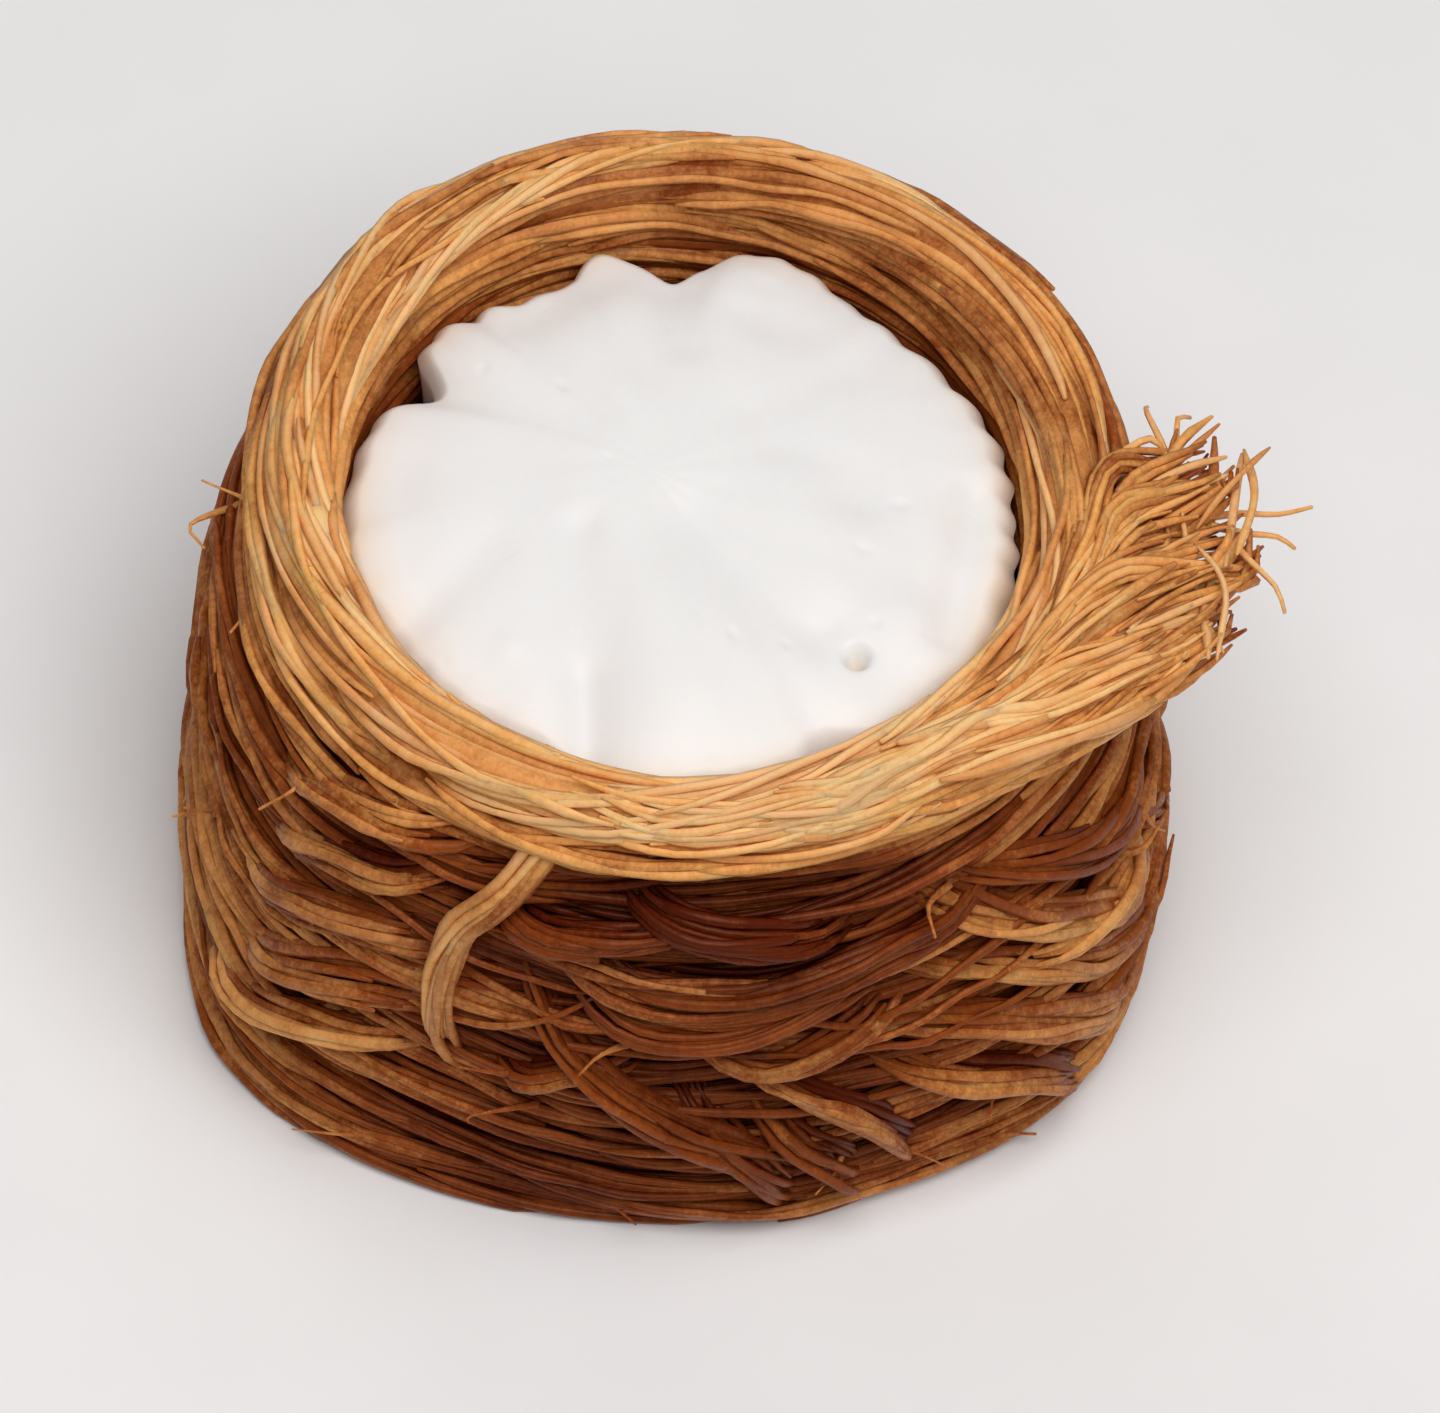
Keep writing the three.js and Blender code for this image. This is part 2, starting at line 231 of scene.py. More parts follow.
@dataclass(frozen=True)
class FriedPastry:
    """Shredded kunafa pastry, fried in butter: a dry crisp crust with a thin film of fat.

    The crust scatters light like bread, and the fat gives it soft broken glints along each strand. Its colour
    follows real browning with painted shade added: golden on the rim's top, darker down the wall and deep
    between the strands.
    """

    pale: str = "#f6c187"
    golden: str = "#e9a35d"
    browned: str = "#93481b"
    dark: str = "#5a1c07"
    roughness: float = 0.42
    ior: float = 1.46  # starch and butter
    specular: float = 0.2
    butter: str = "#ffd2a0"  # the tint that the butter gives its glints
    fat_film: float = 0.08
    mottle_mm: float = 3.0  # patches that browned more
    blister_mm: float = 0.45  # lumps along a strand
    blister_depth_mm: float = 0.08
    grain_mm: float = 0.16  # dry crumb of the crust
    grain_depth_mm: float = 0.02
    glow_mm: float = 0.5
    stops: tuple[float, ...] = (0.0, 0.28, 0.64, 1.05)  # value of browning and painted shade at which each of the four colours is reached
    lightness: tuple[float, float] = (0.88, 1.09)  # from the darkest strand to the lightest
    hues: tuple[float, float] = (0.497, 0.503)

    def material(self, name: str) -> bpy.types.Material:
        """Makes the pastry's material.

        Args:
            name: The material's name.

        Returns:
            The material.
        """
        material, add = new_material(name)
        place = add("TexCoord").outputs["Object"]
        # This attribute holds real browning with painted shade added in the gaps, under the rim, in the cup and
        # down the wall.
        total = add("Attribute", {"attribute_name": "browning"}).outputs["Fac"]
        tone = add("Attribute", {"attribute_name": "tone"}).outputs["Fac"]
        mottle, speckle, grain = (
            add("TexNoise", {}, {"Vector": place, "Scale": 1 / (size * MM), "Detail": detail}).outputs["Fac"]
            for size, detail in ((self.mottle_mm, 3.0), (self.blister_mm, 2.0), (self.grain_mm, 1.0))
        )
        for noise, share in ((mottle, 0.5), (speckle, 0.3), (grain, 0.22)):
            part = add("Math", {"operation": "MULTIPLY_ADD"}, {0: noise, 1: share, 2: -0.5 * share}).outputs[0]
            total = add("Math", {"operation": "ADD"}, {0: total, 1: part}).outputs[0]
        colour = srgb(self.pale)
        for low, high, shade in zip(self.stops, self.stops[1:], (self.golden, self.browned, self.dark)):
            share = add("MapRange", {}, {"Value": total, "From Min": low, "From Max": high}).outputs["Result"]
            colour = add("Mix", {"data_type": "RGBA"}, {0: share, 6: colour, 7: srgb(shade)}).outputs[2]
        value, hue = (
            add("MapRange", {}, {"Value": tone, "To Min": low, "To Max": high}).outputs["Result"]
            for low, high in (self.lightness, self.hues)
        )
        colour = add("HueSaturation", {}, {"Hue": hue, "Value": value, "Color": colour}).outputs["Color"]
        blister, crumb = self.blister_depth_mm * MM, self.grain_depth_mm * MM
        lumps = add("Bump", {}, {"Strength": 0.8, "Distance": blister, "Height": speckle}).outputs["Normal"]
        crust = add(
            "Bump", {}, {"Strength": 0.8, "Distance": crumb, "Height": grain, "Normal": lumps}
        ).outputs["Normal"]
        low, high = self.roughness - 0.12, self.roughness + 0.16
        gloss = add("MapRange", {}, {"Value": mottle, "To Min": low, "To Max": high}).outputs["Result"]
        look = {
            "Base Color": colour,
            "Roughness": gloss,
            "Normal": crust,
            "IOR": self.ior,
            "Specular IOR Level": self.specular,
            "Specular Tint": srgb(self.butter),
            "Coat Weight": self.fat_film,
            "Coat Roughness": 0.24,
            "Subsurface Weight": 0.3,
            "Subsurface Scale": self.glow_mm * MM,
            "Subsurface Radius": (1.0, 0.45, 0.16),
        }
        add("OutputMaterial", {}, {"Surface": add("BsdfPrincipled", {}, look).outputs["BSDF"]})
        return material


@dataclass(frozen=True)
class PipedCream:
    """White sweet cream, piped through a star nozzle: wet, smooth and very slightly glossy.

    Light goes deep into it and comes out again, so its ridges look soft and its shadows are pale. Its rim has a
    little warm yellow painted on, a painted reflection of the light that the fried pastry throws on it; a crumb
    in its deep pit takes the same yellow.
    """

    white: str = "#efeeed"
    # Painted reflection of the pastry's warm light at the cream's edge; also the crumb's colour in the deep
    # pit.
    bounce_and_crumb_yellow: str = "#efd8b2"
    roughness: float = 0.42
    ior: float = 1.4  # water and fat
    glow_mm: float = 1.6
    patch_mm: float = 2.5
    pore_mm: float = 0.5
    pore_depth_mm: float = 0.035

    def material(self, name: str) -> bpy.types.Material:
        """Makes the cream's material.

        Args:
            name: The material's name.

        Returns:
            The material.
        """
        material, add = new_material(name)
        place = add("TexCoord").outputs["Object"]
        fat = add("Attribute", {"attribute_name": "fat"}).outputs["Fac"]
        patches, pores = (
            add("TexNoise", {}, {"Vector": place, "Scale": 1 / (size * MM), "Detail": 3.0}).outputs["Fac"]
            for size in (self.patch_mm, self.pore_mm)
        )
        # Painted reflection: warm yellow at the edge, and the crumb in the pit.
        share = add("Math", {"operation": "MULTIPLY", "use_clamp": True}, {0: fat, 1: patches}).outputs[0]
        shades = {0: share, 6: srgb(self.white), 7: srgb(self.bounce_and_crumb_yellow)}
        depth = self.pore_depth_mm * MM
        low, high = self.roughness - 0.08, self.roughness + 0.12
        gloss = add("MapRange", {}, {"Value": patches, "To Min": low, "To Max": high})
        look = {
            "Base Color": add("Mix", {"data_type": "RGBA"}, shades).outputs[2],
            "Roughness": gloss.outputs["Result"],
            "Normal": add("Bump", {}, {"Strength": 0.6, "Distance": depth, "Height": pores}).outputs["Normal"],
            "IOR": self.ior,
            "Subsurface Weight": 0.5,
            "Subsurface Scale": self.glow_mm * MM,
            "Subsurface Radius": (1.0, 0.9, 0.75),
        }
        add("OutputMaterial", {}, {"Surface": add("BsdfPrincipled", {}, look).outputs["BSDF"]})
        return material


@dataclass(frozen=True)
class StudioPaper:
    """Matt off-white paper, uncoated: even and without gloss, with a faint mottle of its fibres."""

    light: str = "#f5f4f4"
    shade: str = "#f0efef"
    mottle_mm: float = 9.0

    def material(self, name: str) -> bpy.types.Material:
        """Makes the floor's material.

        Args:
            name: The material's name.

        Returns:
            The material.
        """
        material, add = new_material(name)
        place = add("TexCoord").outputs["Object"]
        mottle = add("TexNoise", {}, {"Vector": place, "Scale": 1 / (self.mottle_mm * MM)}).outputs["Fac"]
        shades = {0: mottle, 6: srgb(self.light), 7: srgb(self.shade)}
        colour = add("Mix", {"data_type": "RGBA"}, shades).outputs[2]
        shader = add("BsdfPrincipled", {}, {"Base Color": colour, "Roughness": 0.9, "Specular IOR Level": 0.2})
        add("OutputMaterial", {}, {"Surface": shader.outputs["BSDF"]})
        return material


# ---------------------------------------------------------------- meshes


def make_piece(
    name: str,
    points: np.ndarray,
    faces: list,
    material: bpy.types.Material,
    node: Node,
    values: dict[str, np.ndarray],
    corners: np.ndarray | None = None,
) -> None:
    """Makes one piece that rides on the nest's body and stands for a node.

    Args:
        name: The piece's name.
        points: Rows of coordinates in millimetres.
        faces: Point numbers of each face.
        material: The piece's material.
        node: The node that the piece stands for.
        values: Numbers for each point, by name, that the material reads.
        corners: Where each face's corners lie on the flat map that textures are baked to.
    """
    mesh = bpy.data.meshes.new(name)
    mesh.from_pydata((points * MM).tolist(), [], faces)
    mesh.polygons.foreach_set("use_smooth", [True] * len(mesh.polygons))
    for label, numbers in values.items():
        layer = mesh.attributes.new(label, "FLOAT", "POINT")
        layer.data.foreach_set("value", numbers.astype(np.float32))
    if corners is not None:
        layer = mesh.uv_layers.new(name="OFBake")
        layer.uv.foreach_set("vector", corners.astype(np.float32).ravel())
    mesh.materials.append(material)
    mesh.update()
    piece = bpy.data.objects.new(name, mesh)
    bpy.context.scene.collection.objects.link(piece)
    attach(piece, BODY)
    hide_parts(node.value)
    LOG.info("%s: %d points, %d faces", name, len(points), len(faces))


class Strands:
    """Gathers strands of pastry as closed tubes, and makes one mesh of them."""

    sides: ClassVar[int] = 5  # flat sides of each tube

    def __init__(self) -> None:
        """Starts with no strands."""
        self.points: list[np.ndarray] = []
        self.browning: list[np.ndarray] = []
        self.tone: list[np.ndarray] = []
        self.quads: list[np.ndarray] = []
        self.caps: list[np.ndarray] = []
        self.count = 0

    def add(self, path: np.ndarray, radius: np.ndarray, browning: np.ndarray, tone: float, flat: float) -> None:
        """Adds one strand.

        Args:
            path: Rows of points along its middle.
            radius: Its radius at each point.
            browning: Its browning and painted shade at each point.
            tone: Its own lightness, from zero to one.
            flat: Its thickness as a share of its width.
        """
        heading = unit(np.gradient(path, axis=0))
        side = np.eye(3)[np.abs(heading).max(axis=0).argmin()]
        across = unit(side - (heading @ side)[:, None] * heading)
        third = np.cross(heading, across)
        turn = np.arange(self.sides) * 2 * math.pi / self.sides
        wide, thin = np.cos(turn)[None, :, None], flat * np.sin(turn)[None, :, None]
        rings = path[:, None] + radius[:, None, None] * (wide * across[:, None] + thin * third[:, None])
        tips = np.stack([path[0] - 0.6 * radius[0] * heading[0], path[-1] + 0.6 * radius[-1] * heading[-1]])
        rows, sides = len(path), self.sides
        index = self.count + np.arange(rows * sides).reshape(rows, sides)
        beside = np.roll(index, -1, axis=1)
        self.quads.append(np.stack([index[:-1], beside[:-1], beside[1:], index[1:]], axis=-1).reshape(-1, 4))
        first, last = self.count + rows * sides, self.count + rows * sides + 1
        self.caps.append(np.stack([np.full(sides, first), beside[0], index[0]], axis=-1))
        self.caps.append(np.stack([np.full(sides, last), index[-1], beside[-1]], axis=-1))
        self.points += [rings.reshape(-1, 3), tips]
        self.browning += [np.repeat(browning, sides), browning[[0, -1]]]
        self.tone.append(np.full(rows * sides + 2, tone))
        self.count += rows * sides + 2

    def _flat_map(self, quads: int, caps: int) -> np.ndarray:
        """Lays the tubes out as rows of strips that don't overlap.

        Args:
            quads: Number of four-sided faces, which come first.
            caps: Number of three-sided faces, which follow.

        Returns:
            Two coordinates for each corner of each face.
        """
        sides, margin = self.sides, 0.06
        cells = -(-quads // sides) + -(-caps // sides)
        columns = math.ceil(math.sqrt(cells * 2))
        rows = -(-cells // columns)

        def corner(cell: np.ndarray, along: float, side: np.ndarray) -> np.ndarray:
            """Where a corner lies, from its cell and its place in the cell."""
            up = margin / 2 + (1 - margin) * side / sides
            return np.stack([(cell % columns + along) / columns, (cell // columns + up) / rows], axis=-1)

        face = np.arange(quads)
        cell, side = face // sides, face % sides
        strip = [corner(cell, along, side + up) for along, up in ((0, 0), (0, 1), (1, 1), (1, 0))]
        face = np.arange(caps)
        cell, side = -(-quads // sides) + face // sides, face % sides
        ends = [corner(cell, 1, side + 0.5), corner(cell, 0, side + 1), corner(cell, 0, side)]
        return np.vstack([np.stack(strip, axis=1).reshape(-1, 2), np.stack(ends, axis=1).reshape(-1, 2)])

    def make(self, name: str, material: bpy.types.Material) -> None:
        """Makes the piece.

        Args:
            name: The piece's name.
            material: Its material.
        """
        quads, caps = np.vstack(self.quads), np.vstack(self.caps)
        values = {"browning": np.concatenate(self.browning), "tone": np.concatenate(self.tone)}
        faces = quads.tolist() + caps.tolist()
        corners = self._flat_map(len(quads), len(caps))
        make_piece(name, np.vstack(self.points), faces, material, Node.PASTRY, values, corners)


# ---------------------------------------------------------------- the nest's form


@dataclass(frozen=True)
class Bulge:
    """A place where the foot of the wall stands out, or is drawn in if the depth is negative."""

    degrees: float
    width: float
    depth: float


@dataclass(frozen=True)
class PaintedShadingPatch:
    """A patch of painted shade on the wall, or of painted light if the depth is negative."""

    degrees: float
    width: float
    height: float
    spread: float  # how far it reaches up and down
    depth: float


@dataclass(frozen=True)
class NestForm:
    """Sizes that the nest's parts share, and the surface that its strands are laid to."""

    height: float
    floor: float
    base_radius: float = 22.6
    shoulder_radius: float = 20.8
    belly: float = 0.9
    belly_fullness: float = 0.5
    rim_radius: float = 17.95
    rim_roll: float = 2.05
    cup_radius: float = 16.2
    unevenness: float = 0.35
    shift: float = 0.1  # how much further out the wall stands towards the tuft
    foot_rounding: float = 0.9
    foot_rounding_height: float = 2.4
    bulge_height: float = 26.0  # the bulges fade up to this height
    bulges: tuple[Bulge, ...] = (Bulge(-33, 24, 2.3), Bulge(-146, 22, 2.6), Bulge(-92, 26, -0.3))
    patches: tuple[PaintedShadingPatch, ...] = (
        # Painted shadow at the front foot, painted sheen on the left and painted light on the right.
        PaintedShadingPatch(-107, 20, 2.5, 5.0, 0.34),
        PaintedShadingPatch(-150, 24, 11.0, 8.0, -0.13),
        PaintedShadingPatch(-34, 28, 13.0, 9.0, -0.07),
    )

    @classmethod
    def of_frame(cls) -> "NestForm":
        """Takes the height and the cup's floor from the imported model."""
        return cls(height=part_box(Node.PASTRY.value)[1].z / MM, floor=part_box(Node.CREAM.value)[0].z / MM)

    @property
    def rim_height(self) -> float:
        """Height of the rim's centre line."""
        return self.height - self.rim_roll

    @property
    def shoulder_height(self) -> float:
        """Height where the rim sits on the wall."""
        return self.rim_height - 1.6

    def wall(self, angle: np.ndarray, height: np.ndarray) -> np.ndarray:
        """Finds the wall's outside.

        Args:
            angle: Angles in radians.
            height: Heights above the underside.

        Returns:
            The radius at each.
        """
        share = np.clip(height / self.shoulder_height, 0, 1)
        barrel = self.base_radius + (self.shoulder_radius - self.base_radius) * share
        swell = self.belly * np.sin(math.pi * share) ** self.belly_fullness
        foot = -self.foot_rounding * np.clip(1 - height / self.foot_rounding_height, 0, 1) ** 2
        stray = self.unevenness * drift(angle, 2.4 + height / 9) + self.shift * np.cos(angle)
        for bulge in self.bulges:
            out = bulge.depth * angle_bell(angle, bulge.degrees, bulge.width)
            stray = stray + out * np.clip(1 - height / self.bulge_height, 0, 1)
        return barrel + swell + foot + stray

    def under_layer(self, angle: np.ndarray, height: np.ndarray) -> np.ndarray:
        """How far the windings lie back, where other hanks cross them and under the front of the rim."""
        crossed = 1.3 * angle_bell(angle, -84, 44) * np.clip(height / 6, 0, 1)
        return crossed + 1.2 * angle_bell(angle, -86, 26) * bell(height, 25.8, 2.4)

    def rim(self, angle: np.ndarray) -> tuple[np.ndarray, np.ndarray]:
        """Finds the rim's centre line.

        Args:
            angle: Angles in radians.

        Returns:
            The radius and the height at each.
        """
        radius = self.rim_radius + 0.3 * drift(angle, 3.1) + 0.25 * angle_bell(angle, -90, 60)
        height = self.rim_height - 0.25 + 0.3 * drift(angle, 5.2) + 0.35 * np.sin(angle)
        return radius, height

    def browning(self, points: np.ndarray) -> np.ndarray:
        """Finds how brown the pastry is, least on the rim's top, with painted shade low on the wall and deep in
        it.

        Args:
            points: Rows of coordinates.

        Returns:
            The browning with painted shade at each, from about zero to one.
        """
        height = points[:, 2]
        angle, radius = np.arctan2(points[:, 1], points[:, 0]), np.hypot(points[:, 0], points[:, 1])
        # Darker down the wall and most at the front: partly real browning, partly painted shade on the upright
        # wall, which gets less of the light from above.
        side = 1 - angle_bell(angle, -88, 45)
        fade = 9.0 - 4.5 * angle_bell(angle, 180, 60) + 3.0 * angle_bell(angle, 0, 35)
        down = np.clip((self.height - 2.0 - height) / fade, 0, 1)
        # Painted shade inside the cup, below the rim.
        painted_cup_shade = np.clip((self.rim_radius - 0.6 - radius) / 2.0, 0, 1) * np.clip((29.5 - height) / 3.0, 0, 1)
        # Painted shade deep between the strands, where they lie back from the wall's outside.
        painted_gap_shade = np.clip((self.wall(angle, height) - 0.7 - radius) / 1.9, 0, 1)
        painted_gap_shade *= np.clip((radius - 18.0) / 1.5, 0, 1)
        painted_gap_shade *= np.clip((self.shoulder_height + 0.9 - height) / 0.8, 0, 1)
        # Painted shadow in a band under the front of the rim.
        painted_rim_shadow = 0.46 * angle_bell(angle, -86, 34) * bell(height, 25.4, 2.2)
        painted_rim_shadow = painted_rim_shadow * np.clip((radius - 18.5) / 1.0, 0, 1)
        back = (0.13 * np.sin(angle) + 0.02 * np.cos(angle)) * (1 - down)
        wall = 0.09 + (0.56 - 0.1 * side) * down**0.7 + 0.3 * painted_cup_shade + 0.26 * painted_gap_shade
        brown = wall + 0.07 * drift(angle, 1.3 + height / 6) + painted_rim_shadow
        # Patches of painted shade and painted light.
        for patch in self.patches:
            about = angle_bell(angle, patch.degrees, patch.width)
            brown = brown + patch.depth * about * bell(height, patch.height, patch.spread)
        return brown + back


@dataclass
class Line:
    """A line that a hank follows: its points, the direction of the hank's width, and the way out."""

    centre: np.ndarray
    across: np.ndarray
    outward: np.ndarray

    @classmethod
    def facing(cls, centre: np.ndarray, outward: np.ndarray) -> "Line":
        """Makes a line from its points.

        Args:
            centre: Rows of points along the line.
            outward: Roughly the way out at each.

        Returns:
            The line.
        """
        heading = unit(np.gradient(centre, axis=0))
        across = unit(np.cross(unit(outward), heading))
        return cls(centre, across, unit(np.cross(heading, across)))


@dataclass
class Lock:
    """A few strands that butter and frying have stuck together, slightly twisted round a thicker heart."""

    strands: int = 5
    spread: float = 0.33  # from the lock's middle to the middles of its strands
    radius: float = 0.32
    twist: float = 0.11  # radians in a millimetre
    kinks: float = 0.1
    shortest: float = 12.0
    longest: float = 60.0
    spring: float = 0.4  # how far a cut end springs out
    fray: float = 0.0  # how unevenly the far end is cut
    lowest: float = 0.0
    end_length: float = 4.0  # how long a cut end is that springs out

    def lay(
        self,
        tubes: Strands,
        line: Line,
        browning: Field,
        rng: np.random.Generator,
        deeper: np.ndarray | float = 0.0,
    ) -> None:
        """Lays the lock's strands.

        Args:
            tubes: The strands to add to.
            line: The line that the lock follows.
            browning: Browning and painted shade at points.
            rng: Source of the random draws.
            deeper: Added along the line: painted shade where the lock lies deep in a hank, and in the tuft real
                browning with painted shade.
        """
        distance = lengths_along(line.centre)
        first, hand = rng.uniform(0, 2 * math.pi), rng.choice([-1, 1])
        tint = deeper + rng.normal(0, 0.07) + 0.1 * wander(rng, distance, 14)
        if self.strands > 2:
            heart = slice(3, len(distance) - 3)
            # Painted shade: the heart, inside the lock, is made browner.
            path, outward, browner = line.centre[heart], line.outward[heart], tint[heart] + 0.08
            self._cut(tubes, path, outward, self.spread, browner, browning, rng)
        for number in range(self.strands):
            turn = first + 2 * math.pi * number / self.strands + hand * self.twist * distance
            turn = turn + 0.6 * wander(rng, distance, 11)
            apart = self.spread * (1 + 0.55 * wander(rng, distance, 8)) * min(1, self.strands - 1)
            sideways = apart * np.cos(turn) + self.kinks * wander(rng, distance, 2.8)
            outwards = apart * np.sin(turn) + self.kinks * wander(rng, distance, 2.3)
            path = line.centre + sideways[:, None] * line.across + outwards[:, None] * line.outward
            path = path[: len(path) - int(rng.uniform(0, self.fray) / STEP)]
            # Painted shade on the strands on the lock's inner side.
            self._cut(tubes, path, line.outward, self.radius, tint + 0.06 * (1 - np.sin(turn)), browning, rng)

    def _cut(
        self,
        tubes: Strands,
        path: np.ndarray,
        outward: np.ndarray,
        radius: float,
        tint: np.ndarray,
        browning: Field,
        rng: np.random.Generator,
    ) -> None:
        """Cuts one strand's way into pieces of random length, and adds them.

        Args:
            tubes: The strands to add to.
            path: Rows of points along the strand.
            outward: The way out at each.
            radius: Its middling radius.
            tint: Browning and painted shade added along it.
            browning: Browning and painted shade at points.
            rng: Source of the random draws.
        """
        start = 0
        thick = radius * rng.uniform(0.78, 1.22)
        while start < len(path) - 4:
            end = min(start + int(rng.uniform(self.shortest, self.longest) / STEP), len(path))
            if len(path) - end < 6:
                end = len(path)
            piece = path[start:end].copy()
            along = np.arange(end - start) * STEP
            near = np.minimum(along, along[::-1])
            ends = np.clip(1 - near / self.end_length, 0, 1) ** 2
            piece += (rng.uniform(-0.7, 1) * self.spring * ends)[:, None] * outward[start:end]
            piece[:, 2] += rng.normal(0, 0.3) * ends
            tube = thick * np.clip(0.4 + near / 3, 0, 1) * (1 + 0.17 * wander(rng, along, 2.0))
            piece[:, 2] = np.maximum(piece[:, 2], self.lowest + tube)
            brown = browning(piece) + tint[start:end] + rng.normal(0, 0.03) + 0.08 * ends
            tubes.add(piece, tube, brown, rng.uniform(0, 1), rng.uniform(0.75, 1.0))
            start = end + rng.integers(-2, 3)


@dataclass
class Hank:
    """A loose bundle of locks that run side by side along a line."""

    width: float = 3.2
    thickness: float = 2.4
    locks: int = 3
    twist: float = 0.0  # radians in a millimetre; a hank without twist only has locks on its outer side
    looseness: float = 0.3  # how far a lock strays from its place, as a share of the hank's size
    lock: Lock = field(default_factory=Lock)

    def lay(self, tubes: Strands, line: Line, browning: Field, rng: np.random.Generator) -> None:
        """Lays the hank's locks.

        Args:
            tubes: The strands to add to.
            line: The line that the hank follows.
            browning: Browning and painted shade at points.
            rng: Source of the random draws.
        """
        distance = lengths_along(line.centre)
        for number in range(self.locks):
            share = (number + rng.uniform(0.3, 0.7)) / self.locks
            place = 2 * math.pi * share if self.twist else math.pi * share
            turn = place + self.twist * distance + 1.6 * self.looseness * wander(rng, distance, 13)
            out = np.clip(0.92 + self.looseness * wander(rng, distance, 10), 0.2, 1.25)
            out = out * (1 + 0.7 * self.looseness * wander(rng, distance, 19))
            sideways = 0.5 * self.width * out * np.cos(turn)
            outwards = 0.5 * self.thickness * out * np.sin(turn)
            centre = line.centre + sideways[:, None] * line.across + outwards[:, None] * line.outward
            # Painted shade on locks that lie deeper in the hank, given as extra browning.
            painted_shade_and_browning = 0.13 * (1 - np.clip(out * np.sin(turn), -1, 1))
            self.lock.lay(tubes, Line(centre, line.across, line.outward), browning, rng, painted_shade_and_browning)


# ---------------------------------------------------------------- sub-assemblies


@dataclass
class StrandPart:
    """A sub-assembly that is one piece made of strands."""

    name: ClassVar[str]
    form: NestForm

    def lay(self, tubes: Strands, rng: np.random.Generator) -> None:
        """Lays the strands, which each kind does in its own way."""
        raise NotImplementedError

    def build(self, material: bpy.types.Material, rng: np.random.Generator) -> None:
        """Makes the piece.

        Args:
            material: The pastry's material.
            rng: Source of the random draws.
        """
        tubes = Strands()
        self.lay(tubes, rng)
        tubes.make(self.name, material)


@dataclass
class PressedCore:
    """The tight inside of the cup, under the loose strands: seen only through the gaps between them."""

    form: NestForm
    columns: int = 144
    inset: float = 2.5
    ridge_pitch: float = 1.3
    ridge_depth: float = 0.3
    wall_rings: int = 58
    rim_rings: int = 14
    cup_rings: int = 14
    rim_roll: float = 1.35

    def build(self, finish: FriedPastry) -> None:
        """Makes the core.

        Args:
            finish: The pastry's finish.
        """
        form = self.form
        angle = np.arange(self.columns) * 2 * math.pi / self.columns
        rings = [around(angle, radius, 0.6) for radius in (4.0, 12.0, 19.0)]
        for height in np.linspace(1.4, form.shoulder_height - 0.5, self.wall_rings):
            stray = height + 0.8 * drift(angle, 0.7 + height / 20)
            ridge = self.ridge_depth * np.cos(2 * math.pi * stray / self.ridge_pitch)
            inset = self.inset + 0.8 * form.under_layer(angle, height)
            rings.append(around(angle, form.wall(angle, height) - inset + ridge, height))
        radius, height = form.rim(angle)
        for turn in np.linspace(math.radians(-25), math.radians(205), self.rim_rings):
            roll = self.rim_roll + 0.12 * np.cos(5 * turn - 3 * angle)
            rings.append(around(angle, radius + roll * math.cos(turn), height + roll * math.sin(turn)))
        for height in np.linspace(form.rim_height - 2.6, form.floor + 0.1, self.cup_rings):
            rings.append(around(angle, form.cup_radius + 1.0 + 0.15 * drift(angle, height), height))
        rings.append(around(angle, 8.0, form.floor))
        points = np.vstack(rings)
        index = np.arange(len(points)).reshape(len(rings), self.columns)
        beside = np.roll(index, -1, axis=1)
        faces = np.stack([index[:-1], beside[:-1], beside[1:], index[1:]], axis=-1).reshape(-1, 4).tolist()
        faces += [index[0][::-1].tolist(), index[-1].tolist()]
        # Painted shade: the core is browner and darker in tone than the strands, so the gaps between them look
        # shadowed.
        brown = form.browning(points) + 0.3
        values = {"browning": brown, "tone": np.full(len(points), 0.3)}
        material = finish.material("pressed_fried_pastry")
        make_piece("nest_core", points, faces, material, Node.PASTRY, values)


@dataclass
class BackLayer(StrandPart):
    """Single strands wound close together over the core, which close the gaps between the wall's hanks."""

    name: ClassVar[str] = "back_layer"
    pitch: float = 0.62
    inset: float = 2.3
    radius: float = 0.4
    step: float = 1.8

    def lay(self, tubes: Strands, rng: np.random.Generator) -> None:
        """Lays the strands.

        Args:
            tubes: The strands to add to.
            rng: Source of the random draws.
        """
        form = self.form
        low, high = 1.6, form.shoulder_height - 0.4
        whole = np.arange(0, 2 * math.pi * (high - low) / self.pitch, self.step / form.base_radius)
        start = 0
        while start < len(whole) - 8:
            end = min(start + int(rng.uniform(30, 110) / self.step), len(whole))
            angle = whole[start:end]
            along = angle * form.base_radius
            height = low + self.pitch * angle / (2 * math.pi) + 0.5 * drift(angle, 0.7)
            height = np.clip(height + 0.5 * wander(rng, along, 9), low, high)
            inset = self.inset + 0.8 * form.under_layer(angle, height) + 0.3 * wander(rng, along, 6)
            path = around(angle, form.wall(angle, height) - inset, height)
            radius = self.radius * (1 + 0.15 * wander(rng, along, 4))
            tubes.add(path, radius, form.browning(path) + rng.normal(0, 0.06), rng.uniform(0, 1), 0.85)
            start = end


